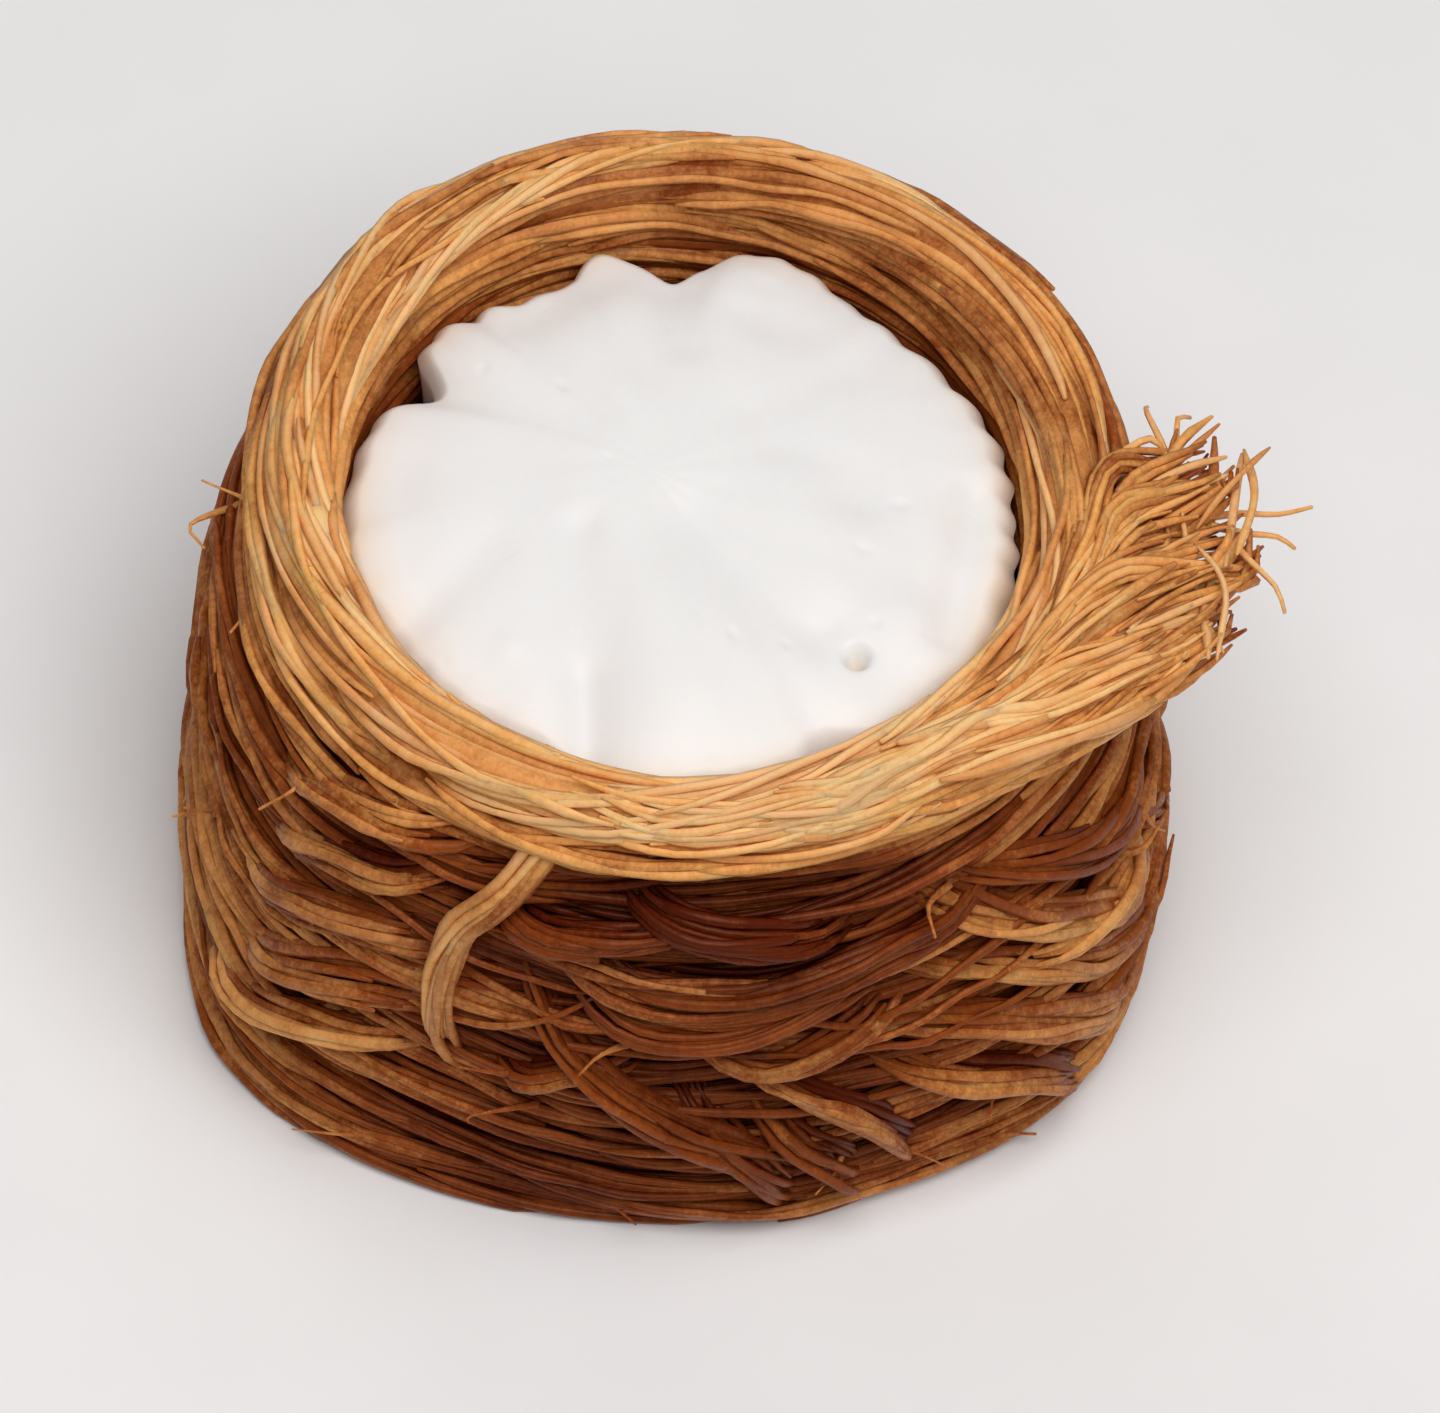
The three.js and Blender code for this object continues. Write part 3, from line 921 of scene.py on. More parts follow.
@dataclass
class WallWindings:
    """The long hank wound round and round from the base up to the rim, as a lower and an upper piece."""

    form: NestForm
    pitch: float = 3.1
    lowest_middle: float = 1.3
    flat_turns: float = 1.8  # turns that don't climb, shared by the base and the shoulder
    wander: float = 0.9
    hank: Hank = field(
        default_factory=lambda: Hank(
            width=2.3,
            thickness=1.4,
            locks=2,
            looseness=0.4,
            lock=Lock(strands=7, spread=0.47, radius=0.28, spring=0.28, lowest=0.02),
        )
    )

    def build(self, material: bpy.types.Material, rng: np.random.Generator) -> None:
        """Makes the wall's strands, from the base up.

        Args:
            material: The pastry's material.
            rng: Source of the random draws.
        """
        form = self.form
        highest = form.shoulder_height - 0.9
        rise = highest - self.lowest_middle
        turns = rise / self.pitch + self.flat_turns
        angle = np.arange(0, 2 * math.pi * turns, STEP / form.base_radius)
        distance = angle * form.base_radius
        start = math.pi * self.flat_turns
        climb = self.lowest_middle + self.pitch * (angle - start) / (2 * math.pi)
        climb = np.clip(climb, self.lowest_middle, highest)
        loose = np.clip(np.minimum(climb - self.lowest_middle, highest - climb) / 3, 0, 1)
        stray = self.wander * drift(angle, 0.7 + climb / 20) + 0.75 * wander(rng, distance, 13)
        height = climb + loose * stray
        proud = 0.45 * wander(rng, distance, 11) - form.under_layer(angle, height)
        radius = form.wall(angle, height) - 0.5 - self.hank.thickness / 2 + proud
        line = Line.facing(around(angle, radius, height), around(angle, 1.0, 0.0))
        middle = len(angle) // 2
        for name, part in (("lower_windings", slice(0, middle + 8)), ("upper_windings", slice(middle, None))):
            tubes = Strands()
            way = Line(line.centre[part], line.across[part], line.outward[part])
            self.hank.lay(tubes, way, form.browning, rng)
            tubes.make(name, material)


@dataclass
class BaseCoil(StrandPart):
    """The start of the winding, coiled flat and pressed on the underside."""

    name: ClassVar[str] = "base_coil"
    pitch: float = 3.6
    margin: float = 2.6  # from the wall's outside to the hank's middle
    hank: Hank = field(
        default_factory=lambda: Hank(width=3.2, thickness=0.7, lock=Lock(spring=0.2, strands=4, radius=0.32))
    )

    def lay(self, tubes: Strands, rng: np.random.Generator) -> None:
        """Lays the underside's strands.

        Args:
            tubes: The strands to add to.
            rng: Source of the random draws.
        """
        outer = self.form.base_radius - self.margin
        angle = np.sqrt(np.linspace(0.15, 1, 420)) * 2 * math.pi * outer / self.pitch
        radius = self.pitch * angle / (2 * math.pi) + 0.4 * drift(angle, 0.4)
        radius = np.minimum(radius, self.form.wall(angle, np.full(len(angle), 1.0)) - self.margin)
        line = Line.facing(around(angle, radius, 0.8), np.tile([0.0, 0.0, -1.0], (len(angle), 1)))
        self.hank.lay(tubes, line, lambda points: np.full(len(points), 0.6), rng)


@dataclass
class RolledRim(StrandPart):
    """The rim: three hanks twisted slowly round its centre line, with a few strands laid loosely over them."""

    name: ClassVar[str] = "rim_strands"
    hanks: int = 3
    twists: int = 2
    offset: float = 0.78
    hank: Hank = field(
        default_factory=lambda: Hank(
            width=1.4,
            thickness=1.3,
            locks=3,
            twist=0.035,
            looseness=0.2,
            lock=Lock(strands=7, spread=0.45, radius=0.27, kinks=0.07, shortest=24.0, longest=90.0),
        )
    )
    strays: int = 18
    seat: Hank = field(default_factory=lambda: Hank(width=1.8, thickness=1.2, locks=2, looseness=0.25))

    def _line(self, angle: np.ndarray, turn: np.ndarray, offset: float) -> Line:
        """Makes a line along the rim.

        Args:
            angle: Angles round the nest.
            turn: The turn round the rim's centre line at each.
            offset: The distance from that centre line.

        Returns:
            The line.
        """
        radius, height = self.form.rim(angle)
        centre = around(angle, radius + offset * np.cos(turn), height + offset * np.sin(turn))
        return Line.facing(centre, around(angle, np.cos(turn), np.sin(turn)))

    def lay(self, tubes: Strands, rng: np.random.Generator) -> None:
        """Lays the rim's strands.

        Args:
            tubes: The strands to add to.
            rng: Source of the random draws.
        """
        form = self.form
        for number in range(self.hanks):
            angle = math.radians(-60) + np.arange(0, 2 * math.pi * 1.04, STEP / form.rim_radius)
            turn = self.twists * angle + 2 * math.pi * number / self.hanks
            self.hank.lay(tubes, self._line(angle, turn, self.offset), form.browning, rng)
        angle = np.arange(0, 2 * math.pi, STEP / form.rim_radius)
        self.seat.lay(tubes, self._line(angle, np.full(len(angle), -0.85), 1.7), form.browning, rng)
        single = Lock(strands=1, kinks=0.15, radius=0.24, shortest=20, longest=60)
        for _ in range(self.strays):
            first = rng.uniform(-math.pi, math.pi)
            angle = first + np.arange(0, rng.uniform(0.8, 2.2), STEP / form.rim_radius)
            turn = rng.uniform(-0.3, 2.6) + rng.uniform(-1.2, 1.2) * (angle - first)
            single.lay(tubes, self._line(angle, turn, form.rim_roll - 0.25), form.browning, rng)


@dataclass
class InnerWinding(StrandPart):
    """The inside of the cup between the rim and the cream."""

    name: ClassVar[str] = "inner_winding"
    pitch: float = 1.9
    turns: float = 3.6
    hank: Hank = field(
        default_factory=lambda: Hank(width=1.9, thickness=0.8, looseness=0.25, lock=Lock(spring=0.2))
    )

    def lay(self, tubes: Strands, rng: np.random.Generator) -> None:
        """Lays the inside's strands.

        Args:
            tubes: The strands to add to.
            rng: Source of the random draws.
        """
        form = self.form
        angle = math.radians(100) + np.arange(0, 2 * math.pi * self.turns, STEP / form.cup_radius)
        start = form.rim_height - 1.0 - self.pitch * self.turns
        climb = start + self.pitch * (angle - angle[0]) / (2 * math.pi)
        height = climb + 0.3 * drift(angle, 0.7 + climb / 9)
        radius = form.cup_radius + 0.62 + 0.15 * drift(angle, 4.0)
        line = Line.facing(around(angle, radius, height), around(angle, -1.0, 0.0))
        self.hank.lay(tubes, line, form.browning, rng)


@dataclass(frozen=True)
class Crossing:
    """A thin hank that crosses the windings."""

    width: float
    places: tuple[tuple[float, float], ...]  # angles in degrees, and heights
    # Painted light: taken off the hank's browning so it looks lighter than the windings under it; a negative
    # value paints shade.
    painted_light: float = 0.04
    twist: float = 0.08  # radians in a millimetre
    looseness: float = 0.18


@dataclass
class CrossingHanks(StrandPart):
    """Hanks and single strands that cross the windings, with their ends tucked under them."""

    name: ClassVar[str] = "crossing_hanks"
    crossings: tuple[Crossing, ...] = (
        Crossing(
            1.9,
            ((-108, 29), (-113, 25), (-118, 21.8), (-120, 18.8), (-121, 15), (-121, 11), (-120, 8)),
            # Painted light on the bright strap down the front left.
            painted_light=0.3,
            twist=0.0,
            looseness=0.07,
        ),
        Crossing(1.6, ((-152, 21), (-140, 24.6), (-130, 25.8), (-117, 27))),
        Crossing(2.0, ((-150, 17.5), (-138, 21), (-128, 22.2), (-118, 24.2))),
        Crossing(2.4, ((-156, 12.5), (-142, 15.4), (-131, 17.4), (-119, 18))),
        Crossing(2.4, ((-152, 7.5), (-140, 11), (-129, 13.4), (-117, 13.4))),
        Crossing(2.2, ((-160, 3.5), (-147, 5.5), (-136, 8.2), (-124, 9.4))),
        Crossing(1.3, ((-116, 21.6), (-106, 22.8), (-96, 23.6), (-88, 23.2))),
        Crossing(1.6, ((-98, 24.6), (-88, 24.6), (-78, 23.4), (-66, 21.6))),
        Crossing(
            2.3,
            ((-109, 20.6), (-99, 18.8), (-88, 18.7), (-77, 19.4), (-66, 20.4), (-54, 20), (-43, 21.4)),
        ),
        Crossing(2.2, ((-106, 17.8), (-98, 16.4), (-90, 16.6), (-83, 17), (-73, 18.4), (-62, 18.6))),
        Crossing(1.9, ((-112, 18.4), (-106, 14.2), (-99, 11), (-92, 8.4), (-85, 6.2), (-78, 3.6), (-72, 1.4))),
        Crossing(1.5, ((-115, 9.6), (-109, 11), (-103, 12.3), (-95, 12)), -0.04),
        Crossing(1.8, ((-90, 9.4), (-84, 6), (-79, 3.2), (-75, 1))),
        Crossing(1.8, ((-84, 12), (-75, 9.6), (-69, 7.2), (-64, 3.8), (-60, 1))),
        Crossing(1.6, ((-81, 8.2), (-76, 5.6), (-71, 3.4), (-67, 1))),
        Crossing(1.7, ((-90, 13.6), (-80, 13), (-70, 14.6), (-60, 15.8))),
        Crossing(2.1, ((-66, 12.8), (-57, 12), (-49, 10), (-41, 7.2), (-31, 3.7), (-20, 2.3))),
        Crossing(2.0, ((-66, 10), (-57, 7.6), (-48, 5.2), (-40, 2.2), (-34, 0.6))),
        Crossing(2.2, ((-60, 22.6), (-52, 19.6), (-45, 17), (-37, 14.2), (-26, 10.2), (-10, 7.8))),
        Crossing(1.8, ((-62, 17), (-52, 15.4), (-43, 12.6), (-34, 9.3), (-20, 6.5), (-6, 5.9))),
        Crossing(1.8, ((-55, 23), (-43, 20.6), (-32, 17.5), (-19, 15.1), (-6, 14.2)), -0.05),
    )
    slide: float = 2.4  # degrees that a crossing's places slide round at the foot
    rise: float = 1.9  # how far they slide up there
    firm_height: float = 28.0  # where they don't slide any more
    others: int = 26
    singles: int = 40
    lock: Lock = field(
        default_factory=lambda: Lock(
            strands=6,
            spread=0.38,
            radius=0.28,
            twist=0.14,
            shortest=30,
            longest=80,
            spring=0.2,
            fray=6,
            lowest=0.02,
        )
    )

    def _settled(self, places: tuple[tuple[float, float], ...]) -> np.ndarray:
        """Slides a crossing's places round and up where the wall widens to the foot.

        Args:
            places: Angles in degrees, and heights.

        Returns:
            Rows of an angle in degrees and a height.
        """
        degrees, heights = np.array(places, float).T
        slack = np.clip(1 - heights / self.firm_height, 0, 1)
        lifted = heights + self.rise * slack * np.clip(heights / 4, 0, 1)
        return np.stack([degrees + self.slide * slack, lifted], axis=1)

    def _route(self, places: np.ndarray, lift: float, tuck: float) -> Line:
        """A line on the wall through places, whose ends go in under the windings.

        Args:
            places: Rows of an angle in degrees and a height.
            lift: How far the line stands out from the wall.
            tuck: How much further in its ends lie.

        Returns:
            The line.
        """
        degrees, heights = places.T
        way = smooth_line(np.stack([np.radians(degrees) * self.form.base_radius, heights], axis=1))
        angle, height = way[:, 0] / self.form.base_radius, way[:, 1]
        share = np.linspace(0, 1, len(way))
        raised = lift - tuck * np.abs(2 * share - 1) ** 3
        radius = self.form.wall(angle, height) + raised
        return Line.facing(around(angle, radius, height), around(angle, 1.0, 0.0))

    def _lay_crossing(self, tubes: Strands, crossing: Crossing, line: Line, rng: np.random.Generator) -> None:
        """Lays a crossing's hank.

        Args:
            tubes: The strands to add to.
            crossing: The crossing.
            line: The line that it follows.
            rng: Source of the random draws.
        """
        locks = 3 if crossing.width > 1.9 else 2
        hank = Hank(1.15 * crossing.width - 1.0, 0.95, locks, crossing.twist, crossing.looseness, self.lock)
        # Painted light: the crossing's hank is made less brown.
        hank.lay(tubes, line, lambda points: self.form.browning(points) - crossing.painted_light, rng)

    def lay(self, tubes: Strands, rng: np.random.Generator) -> None:
        """Lays the crossing strands.

        Args:
            tubes: The strands to add to.
            rng: Source of the random draws.
        """
        for crossing in self.crossings:
            line = self._route(self._settled(crossing.places), -0.35, 2.6)
            self._lay_crossing(tubes, crossing, line, rng)
        for _ in range(self.others):
            first, low = rng.uniform(-25, 210), rng.uniform(2.0, 19)
            sweep, climb = rng.uniform(14, 44) * rng.choice([-1, 1]), rng.uniform(3, 8)
            middle = (first + 0.5 * sweep, low + climb * rng.uniform(0.25, 0.75))
            places = ((first, low), middle, (first + sweep, low + climb))
            line = self._route(np.array(places), -0.4, 2.4)
            self._lay_crossing(tubes, Crossing(rng.uniform(1.4, 2.2), places), line, rng)
        single = Lock(strands=1, kinks=0.16, radius=0.25, shortest=60, longest=90, lowest=0.02)
        for _ in range(self.singles):
            first, low = rng.uniform(-180, 180), rng.uniform(3.5, 26)
            sweep, climb = rng.uniform(25, 90), rng.normal(0, 3.0)
            middle = (first + 0.5 * sweep, np.clip(low + climb * rng.uniform(0.1, 0.9), 3, 26.5))
            places = np.array([(first, low), middle, (first + sweep, np.clip(low + climb, 3, 26.5))])
            single.lay(tubes, self._route(places, rng.uniform(-0.7, -0.1), 0.8), self.form.browning, rng)


@dataclass(frozen=True)
class Wisp:
    """A single strand that stands out of the tuft."""

    start: tuple[float, float]
    degrees: float  # the way that it points
    length: float


@dataclass
class FrayedTuft(StrandPart):
    """The last hank: it leaves the rim towards the front right and ends in a ragged mat of strands."""

    name: ClassVar[str] = "frayed_tuft"
    locks: int = 64
    bunches: int = 6
    tangles: int = 26
    first_leaves: float = -66.0
    last_leaves: float = -10.0
    first_end: float = -22.0
    last_end: float = 5.5
    reach: float = 26.9
    front_shortening: float = 2.2  # how much nearer the front ends lie
    shortening: float = 2.1  # how much nearer the back ends lie
    depth: float = 2.6
    lock: Lock = field(
        default_factory=lambda: Lock(spread=0.36, radius=0.25, kinks=0.14, shortest=14, longest=34, fray=3.0)
    )
    browner: float = 0.11  # browning of the tuft over the rim's
    shaded: float = 0.035  # painted shade for each millimetre down in the mat
    singed: float = 0.11  # browning added at the free ends
    wisps: tuple[Wisp, ...] = (
        Wisp((22.3, 2.4), 92, 3.8),
        Wisp((22.9, 3.2), 74, 2.2),
        Wisp((25.8, -0.8), 10, 3.2),
        Wisp((25.9, -1.8), -12, 2.6),
        Wisp((26.0, -3.8), -52, 3.4),
    )

    def _end(self, share: float) -> np.ndarray:
        """Finds a place on the mat's outline.

        Args:
            share: The place, from the mat's front at zero to its back at one.

        Returns:
            Its coordinates.
        """
        angle = np.array(math.radians(self.first_end + (self.last_end - self.first_end) * share))
        radius = self.reach - self.front_shortening * (1 - share) ** 2 - self.shortening * share**3
        return around(angle, radius, self.form.rim_height)

    def _way(self, share: float, rng: np.random.Generator) -> np.ndarray:
        """A lock's way along the rim, off it and into the mat.

        Args:
            share: Its place in the mat, from the front at zero to the back at one.
            rng: Source of the random draws.

        Returns:
            Rows of points.
        """
        form = self.form
        leaves = math.radians(self.first_leaves + (self.last_leaves - self.first_leaves) * share)
        leaves += rng.normal(0, 0.04)
        turn = math.radians(rng.uniform(-50, 75))
        angle = np.linspace(leaves - math.radians(rng.uniform(15, 50)), leaves, 5)
        radius, height = form.rim(angle)
        roll = form.rim_roll + np.linspace(-1.0, -0.1, 5)
        start = around(angle, radius + roll * math.cos(turn), height + roll * math.sin(turn))
        heading = np.array([-math.sin(leaves), math.cos(leaves), 0.0])
        end = self._end(float(np.clip(share + rng.normal(0, 0.04), 0, 1)))
        end = end + [*rng.normal(0, 0.3, 2), -0.6 + rng.uniform(-0.5, 0.5) * self.depth]
        away = np.linalg.norm(end - start[-1])
        bow = start[-1] + heading * 0.5 * away + [0.5, -0.3, rng.normal(0, 0.3)]
        curl = end + [rng.normal(-0.5, 0.4), rng.normal(0.8, 0.4), rng.normal(-0.2, 0.4)]
        path = smooth_line(np.vstack([start, bow, end, curl]))
        path = path[: max(10, round(rng.uniform(0.6, 1.0) ** 0.5 * len(path)))]
        distance = lengths_along(path)
        for axis in range(3):
            path[:, axis] += 0.45 * wander(rng, distance, 5)
        path[:, 2] = np.minimum(path[:, 2], form.height - 0.3)
        return path

    def _tangle(self, rng: np.random.Generator) -> np.ndarray:
        """A short broken strand's way, lying across the mat.

        Args:
            rng: Source of the random draws.

        Returns:
            Rows of points.
        """
        share = rng.uniform(0, 1)
        outline = self._end(share)
        ring = outline / np.linalg.norm(outline[:2]) * (self.form.rim_radius + 1.5)
        middle = ring + (outline - ring) * rng.uniform(0.1, 1.0) ** 0.7
        middle[2] = self.form.rim_height + rng.uniform(-1.0, 1.3)
        way = math.radians(50 + 25 * share + rng.normal(0, 32))
        reach = rng.uniform(1.5, 4.0) * np.array([math.cos(way), math.sin(way), rng.normal(0, 0.12)])
        path = smooth_line(np.array([middle - reach, middle + rng.normal(0, 0.6, 3), middle + reach]), 0.7)
        path[:, 2] = np.minimum(path[:, 2], self.form.height - 0.2)
        return path

    def lay(self, tubes: Strands, rng: np.random.Generator) -> None:
        """Lays the tuft's strands.

        Args:
            tubes: The strands to add to.
            rng: Source of the random draws.
        """
        for number in range(self.locks):
            bunch = number % self.bunches
            share = float(np.clip((bunch + 0.5 + rng.normal(0, 0.3)) / self.bunches, 0, 1))
            path = self._way(share, rng)
            line = Line.facing(path, np.tile([0.0, 0.0, 1.0], (len(path), 1)))
            # The tuft's own browning, with painted shade deeper in the mat and browner free ends.
            painted_shade_and_browning = self.browner + self.shaded * np.clip(self.form.rim_height + 0.6 - path[:, 2], 0, 3)
            painted_shade_and_browning += self.singed * np.linspace(0, 1, len(path)) ** 2
            self.lock.lay(tubes, line, self.form.browning, rng, painted_shade_and_browning + (0.06 if bunch % 2 else 0.0))
        single = Lock(strands=1, kinks=0.12, radius=0.22, spring=0.2)
        for _ in range(self.tangles):
            path = self._tangle(rng)
            line = Line.facing(path, np.tile([0.0, 0.0, 1.0], (len(path), 1)))
            single.lay(tubes, line, self.form.browning, rng, 0.02)
        for wisp in self.wisps:
            way = around(np.array(math.radians(wisp.degrees)), 1.0, rng.normal(0, 0.15))
            start = np.array([*wisp.start, self.form.rim_height + rng.uniform(-0.8, 0.6)])
            end = start + wisp.length * way
            points = np.array([start - 1.5 * way, start, start + 0.55 * wisp.length * way, end])
            points[2:] += rng.normal(0, 0.12, (2, 3)) * wisp.length
            path = smooth_line(points, 0.6)
            radius = np.linspace(0.22, 0.1, len(path))
            tubes.add(path, radius, self.form.browning(path) + 0.02, rng.uniform(0.3, 1), 1.0)


@dataclass
class LooseHairs(StrandPart):
    """Thin broken ends that stand off the wall, the rim and the tuft."""

    name: ClassVar[str] = "loose_hairs"
    count: int = 32
    radius: float = 0.19
    noted: tuple[tuple[float, float, float], ...] = (
        (-178, 26.5, 3.8),
        (-172, 25.5, 3.0),
        (172, 24.0, 3.4),
        (-64, 3.2, 3.5),
        (-128, 2.6, 3.5),
    )  # angle in degrees, height and length of the hairs that show most

    def lay(self, tubes: Strands, rng: np.random.Generator) -> None:
        """Lays the hairs.

        Args:
            tubes: The strands to add to.
            rng: Source of the random draws.
        """
        form = self.form
        places = list(self.noted)
        for _ in range(self.count):
            places.append((rng.uniform(-180, 180), rng.uniform(1.5, 23), rng.uniform(1.8, 4.2)))
        for degrees, height, length in places:
            angle = math.radians(degrees)
            out = around(angle, 1.0, 0.0)
            beside = around(angle + math.pi / 2, 1.0, 0.0) * rng.choice([-1, 1])
            start = around(angle, form.wall(np.array(angle), np.array(height)) - 1.0, height)
            heading = beside * rng.uniform(0.5, 1) + out * rng.uniform(0.35, 0.8)
            heading = unit(heading + [0, 0, rng.normal(0, 0.35)])
            bend = rng.normal(0, 0.16, 3) * length
            middle, end = start + heading * length * 0.5 + bend, start + heading * length - bend * 0.3
            points = np.array([start, middle, end])
            path = smooth_line(points, 0.6)
            distance = lengths_along(path)
            radius = self.radius * rng.uniform(0.8, 1.4) * np.clip(1.05 - distance / distance[-1], 0.3, 1)
            path[:, 2] = np.maximum(path[:, 2], radius)
            brown = form.browning(path) - 0.1 + rng.normal(0, 0.06)
            tubes.add(path, radius, brown, rng.uniform(0.3, 1), 1.0)


@dataclass(frozen=True)
class EdgeMark:
    """A place where the cream's round edge is set back, or stands out if the depth is negative."""

    degrees: float
    width: float
    depth: float


@dataclass(frozen=True)
class Valley:
    """A broad hollow in the cream's top, from one place to another."""

    first: tuple[float, float]
    last: tuple[float, float]
    width: float
    depth: float

    def hollow(self, across: np.ndarray, along: np.ndarray) -> np.ndarray:
        """Finds how deep the hollow is.

        Args:
            across: Places across the cream.
            along: Places along it.

        Returns:
            The depth at each place.
        """
        run = np.array(self.last) - self.first
        share = ((across - self.first[0]) * run[0] + (along - self.first[1]) * run[1]) / (run @ run)
        share = np.clip(share, 0, 1)
        away = np.hypot(across - self.first[0] - share * run[0], along - self.first[1] - share * run[1])
        return self.depth * bell(away, 0.0, self.width)


@dataclass
class CreamSwirl:
    """The filling, piped round once with a star nozzle: faint curved seams run in to an off-centre middle.

    Broad hollows and lumps lie over the seams, where the cream was smeared and has sunk. Below its edge a skirt
    runs down inside the cup, given by how far in and how far down each of its rings lies.
    """

    form: NestForm
    edge_radius: float = 15.6
    edge_depth: float = 4.4
    crown: float = 1.7
    sweep: float = 0.3  # radians that a ridge turns on its way in
    middle: tuple[float, float] = (-1.8, 1.4)
    seams: tuple[float, ...] = (-175, -152, -125, -100, -70, -43, -20, 2, 30, 58, 85, 110, 132, 154)
    seam_depth: float = 0.13
    scallop: float = 0.2
    marks: tuple[EdgeMark, ...] = (
        EdgeMark(150, 5.0, 2.1),
        EdgeMark(137, 6, -0.3),
        EdgeMark(119, 8, 1.1),
        EdgeMark(104, 4, -0.6),
        EdgeMark(91.5, 7.5, 1.7),
        EdgeMark(72, 10, -0.4),
        EdgeMark(47, 16, 0.8),
        EdgeMark(-30, 16, -0.5),
        EdgeMark(-63, 5, 1.2),
        EdgeMark(-97, 6, -0.5),
        EdgeMark(-115, 11, 0.5),
        EdgeMark(-170, 14, -0.8),
    )
    valleys: tuple[Valley, ...] = (
        Valley((-5.0, -2.5), (-4.7, -13.5), 1.6, 0.45),
        Valley((-4.7, -10.0), (-4.5, -13.5), 0.9, 0.3),
        Valley((0.3, -1.2), (5.9, -7.2), 1.8, 0.5),
        Valley((13.5, 0.7), (12.1, -6.9), 0.9, 0.35),
        Valley((3.5, 4.6), (8.9, 8.1), 1.4, 0.2),
        Valley((4.5, 2.6), (8.2, 1.9), 1.1, 0.15),
        Valley((-9.1, -2.9), (-12.5, -6.8), 1.3, 0.25),
        Valley((-4.4, 4.9), (-4.0, 4.5), 1.1, 0.18),
        Valley((-0.2, 12.0), (0.1, 8.8), 1.2, 0.22),
        Valley((3.7, 12.2), (3.9, 10.0), 1.0, 0.15),
        Valley((-3.6, 13.6), (-6.0, 11.5), 1.4, 0.2),
    )
    lumps: int = 70
    lump_height: float = 0.09
    pits: int = 16
    deep_pit: tuple[float, float] = (7.9, -8.4)
    deep_pit_depth: float = 2.2
    deep_pit_width: float = 0.42
    skirt: tuple[tuple[float, float], ...] = ((0.15, 0.9), (0.35, 2.2), (0.5, 4.5), (0.9, 9.0), (1.3, 15.0))
    columns: int = 448
    rings: int = 84

    def _nearness(self, angle: np.ndarray) -> np.ndarray:
        """Finds how near a seam angles at the edge are.

        Args:
            angle: Angles in radians.

        Returns:
            One value for each, from zero on a ridge to one in a seam.
        """
        degrees = (np.degrees(angle) + 180) % 360 - 180
        marks = np.array([self.seams[-1] - 360, *self.seams, self.seams[0] + 360])
        index = np.clip(np.searchsorted(marks, degrees, side="right") - 1, 0, len(marks) - 2)
        share = (degrees - marks[index]) / (marks[index + 1] - marks[index])
        return np.abs(2 * share - 1)

    def _edge(self, angle: np.ndarray) -> np.ndarray:
        """Finds the cream's edge.

        Args:
            angle: Angles in radians.

        Returns:
            The radius at each.
        """
        teeth = 1 + 2 * angle_bell(angle, 125, 24)
        outer = self.edge_radius - self.scallop * teeth * self._nearness(angle) ** 2.5
        for mark in self.marks:
            outer = outer - mark.depth * angle_bell(angle, mark.degrees, mark.width)
        return outer

    def _top(self, rng: np.random.Generator) -> np.ndarray:
        """Shapes the cream's top.

        Args:
            rng: Source of the random draws.

        Returns:
            Its points, ring by ring from the middle out.
        """
        angle = np.arange(self.columns) * 2 * math.pi / self.columns
        share = np.sin(np.linspace(0.5 / self.rings, 1, self.rings) * math.pi / 2)[:, None]
        at_edge = angle[None] + self.sweep * (1 - share) + 0.03 * np.sin(9 * share + 3 * angle[None])
        ripple = 0.07 + 0.12 * angle_bell(angle, 125, 30) + 0.08 * angle_bell(angle, 20, 40)
        outer = self._edge(angle)[None] + ripple * np.sin(41 * angle + 2 * np.sin(5 * angle)) * share**6
        radius = share * outer
        across = radius * np.cos(angle) + (1 - share) * self.middle[0]
        along = radius * np.sin(angle) + (1 - share) * self.middle[1]
        height = self.form.height - self.edge_depth + self.crown * (1 - share**3)
        strength = np.clip(0.7 + 0.8 * drift(at_edge, 1.7 + 2.5 * share), 0.1, 1.5)
        crease = bell(1 - self._nearness(at_edge), 0.0, 0.55)
        height = height - self.seam_depth * strength * crease * share * (1.4 - 0.4 * share)
        height = height + 0.15 * drift(2 * across / 9 + 1, along / 7)
        for valley in self.valleys:
            height = height - valley.hollow(across, along)
        for _ in range(self.lumps):
            spot, size = rng.uniform(-14, 14, 2), rng.uniform(0.7, 2.2)
            away = np.hypot(across - spot[0], along - spot[1])
            height = height + rng.normal(0, self.lump_height) * bell(away, 0.0, size) * np.clip(size, 0, 1.4)
        height = height - 1.1 * np.clip((share - 0.93) / 0.07, 0, 1) ** 2
        away = np.hypot(across - self.deep_pit[0], along - self.deep_pit[1])
        height = height - self.deep_pit_depth * bell(away, 0.0, self.deep_pit_width)
        for _ in range(self.pits):
            spot, size = rng.uniform(-13, 13, 2), rng.uniform(0.12, 0.3)
            height = height - 0.5 * size * bell(np.hypot(across - spot[0], along - spot[1]), 0.0, size)
        return np.stack([across, along, np.broadcast_to(height, across.shape)], axis=-1)

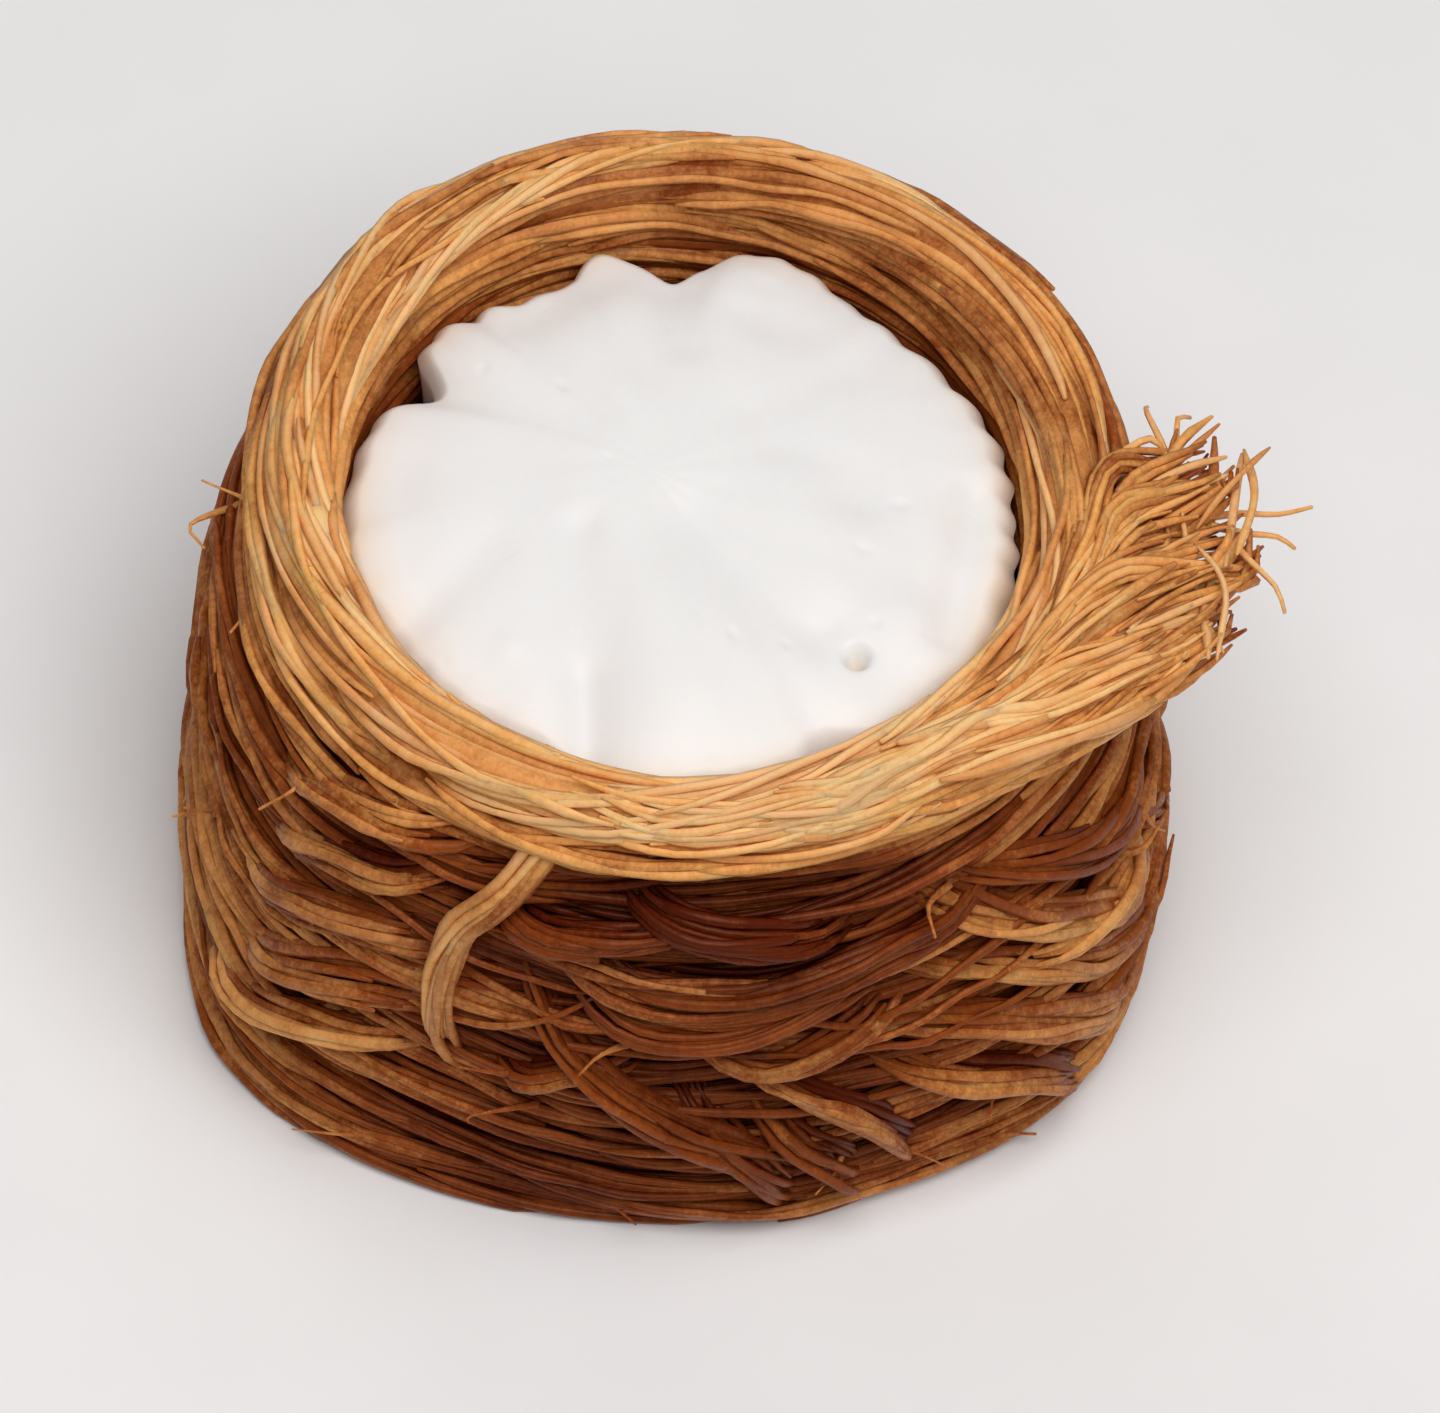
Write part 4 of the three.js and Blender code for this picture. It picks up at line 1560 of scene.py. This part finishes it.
    def build(self, finish: PipedCream, rng: np.random.Generator) -> None:
        """Makes the filling.

        Args:
            finish: The cream's finish.
            rng: Source of the random draws.
        """
        rings = list(self._top(rng))
        centre = [*self.middle, rings[0][:, 2].mean()]
        low = rings[-1]
        for inwards, drop in self.skirt:
            scale = 1 - inwards / self.edge_radius
            rings.append(low * [scale, scale, 1] - [0, 0, drop])
        rings.append(low * [0.9, 0.9, 0] + [0, 0, self.form.floor])
        points = np.vstack([*rings, [centre]])
        index = np.arange(len(points) - 1).reshape(len(rings), self.columns)
        beside = np.roll(index, -1, axis=1)
        faces = np.stack([index[:-1], index[1:], beside[1:], beside[:-1]], axis=-1).reshape(-1, 4).tolist()
        faces += [[len(points) - 1, a, b] for a, b in zip(index[0].tolist(), beside[0].tolist())]
        faces.append(index[-1][::-1].tolist())
        # Painted reflection of warm light from the pastry, strongest at the cream's edge.
        painted_edge_bounce = np.clip((np.hypot(points[:, 0], points[:, 1]) - 13.4) / 2.2, 0, 1) ** 1.5
        away = np.hypot(points[:, 0] - self.deep_pit[0], points[:, 1] - self.deep_pit[1])
        crumb = 1.1 * bell(away, 0.0, 0.35) * (points[:, 2] > 20)
        material = finish.material("piped_sweet_cream")
        make_piece("piped_cream", points, faces, material, Node.CREAM, {"fat": painted_edge_bounce + crumb})


@dataclass
class Studio:
    """A plain pale floor, soft light from above and a long lens."""

    distance: float = 620.0
    elevation: float = 56.0
    azimuth: float = -93.8
    roll: float = 4.0
    view_width: float = 68.5
    target: tuple[float, float, float] = (2.3, 0.0, 11.7)
    sensor: float = 36.0

    def _floor(self) -> None:
        """Lays the floor, wide enough to fill every view."""
        side = 4000 * MM
        mesh = bpy.data.meshes.new("studio_floor")
        corners = [(-side, -side, 0), (side, -side, 0), (side, side, 0), (-side, side, 0)]
        mesh.from_pydata(corners, [], [(0, 1, 2, 3)])
        mesh.materials.append(StudioPaper().material("uncoated_paper"))
        floor = bpy.data.objects.new("studio_floor", mesh)
        bpy.context.scene.collection.objects.link(floor)

    def _light(self, name: str, place: tuple, size: float, power: float, colour: str) -> None:
        """Adds a square soft light that faces the nest.

        Args:
            name: The light's name.
            place: Its place in millimetres.
            size: Its side in millimetres.
            power: Its power in watts.
            colour: Its colour in sRGB hex.
        """
        lamp = bpy.data.lights.new(name, "AREA")
        lamp.shape, lamp.size, lamp.energy = "SQUARE", size * MM, power
        lamp.color = srgb(colour)[:3]
        light = bpy.data.objects.new(name, lamp)
        light.location = Vector(place) * MM
        light.rotation_euler = (Vector((0, 0, 0.018)) - light.location).to_track_quat("-Z", "Y").to_euler()
        bpy.context.scene.collection.objects.link(light)

    def build(self) -> None:
        """Makes the floor, the lights, the world and the camera."""
        scene = bpy.context.scene
        self._floor()
        self._light("soft_top", (60, -150, 490), 400, 2.5, "#fffefd")
        self._light("back_fill", (-120, 380, 330), 400, 0.35, "#ffffff")
        world = bpy.data.worlds.new("pale_studio")
        world.use_nodes = True
        world.node_tree.nodes["Background"].inputs["Color"].default_value = srgb("#f2f3f5")
        world.node_tree.nodes["Background"].inputs["Strength"].default_value = 0.1
        scene.world = world
        scene.view_settings.view_transform = "Standard"
        lens = bpy.data.cameras.new("camera")
        lens.sensor_width = self.sensor
        lens.lens = self.sensor * self.distance / self.view_width
        lens.clip_start, lens.clip_end = 0.05, 20
        camera = bpy.data.objects.new("camera", lens)
        tilt, side = math.radians(self.elevation), math.radians(self.azimuth)
        back = Vector((math.cos(tilt) * math.cos(side), math.cos(tilt) * math.sin(side), math.sin(tilt)))
        camera.location = (Vector(self.target) + back * self.distance) * MM
        turned = Quaternion((0, 0, 1), math.radians(self.roll))
        camera.rotation_euler = ((-back).to_track_quat("-Z", "Y") @ turned).to_euler()
        scene.collection.objects.link(camera)
        scene.camera = camera
        LOG.info("studio ready")


def main() -> None:
    """Builds the nest's pieces in order, and the studio."""
    logging.basicConfig(level=logging.INFO, format="%(name)s %(message)s")
    form = NestForm.of_frame()
    crust = FriedPastry()
    pastry = crust.material("fried_shredded_pastry")
    PressedCore(form).build(crust)
    parts = {
        WallWindings: 11,
        BaseCoil: 12,
        RolledRim: 13,
        InnerWinding: 14,
        CrossingHanks: 15,
        FrayedTuft: 96,
        LooseHairs: 17,
        BackLayer: 18,
    }
    for part, seed in parts.items():
        part(form).build(pastry, np.random.default_rng(seed))
    CreamSwirl(form).build(PipedCream(), np.random.default_rng(5))
    Studio().build()


if __name__ == "__main__":
    main()
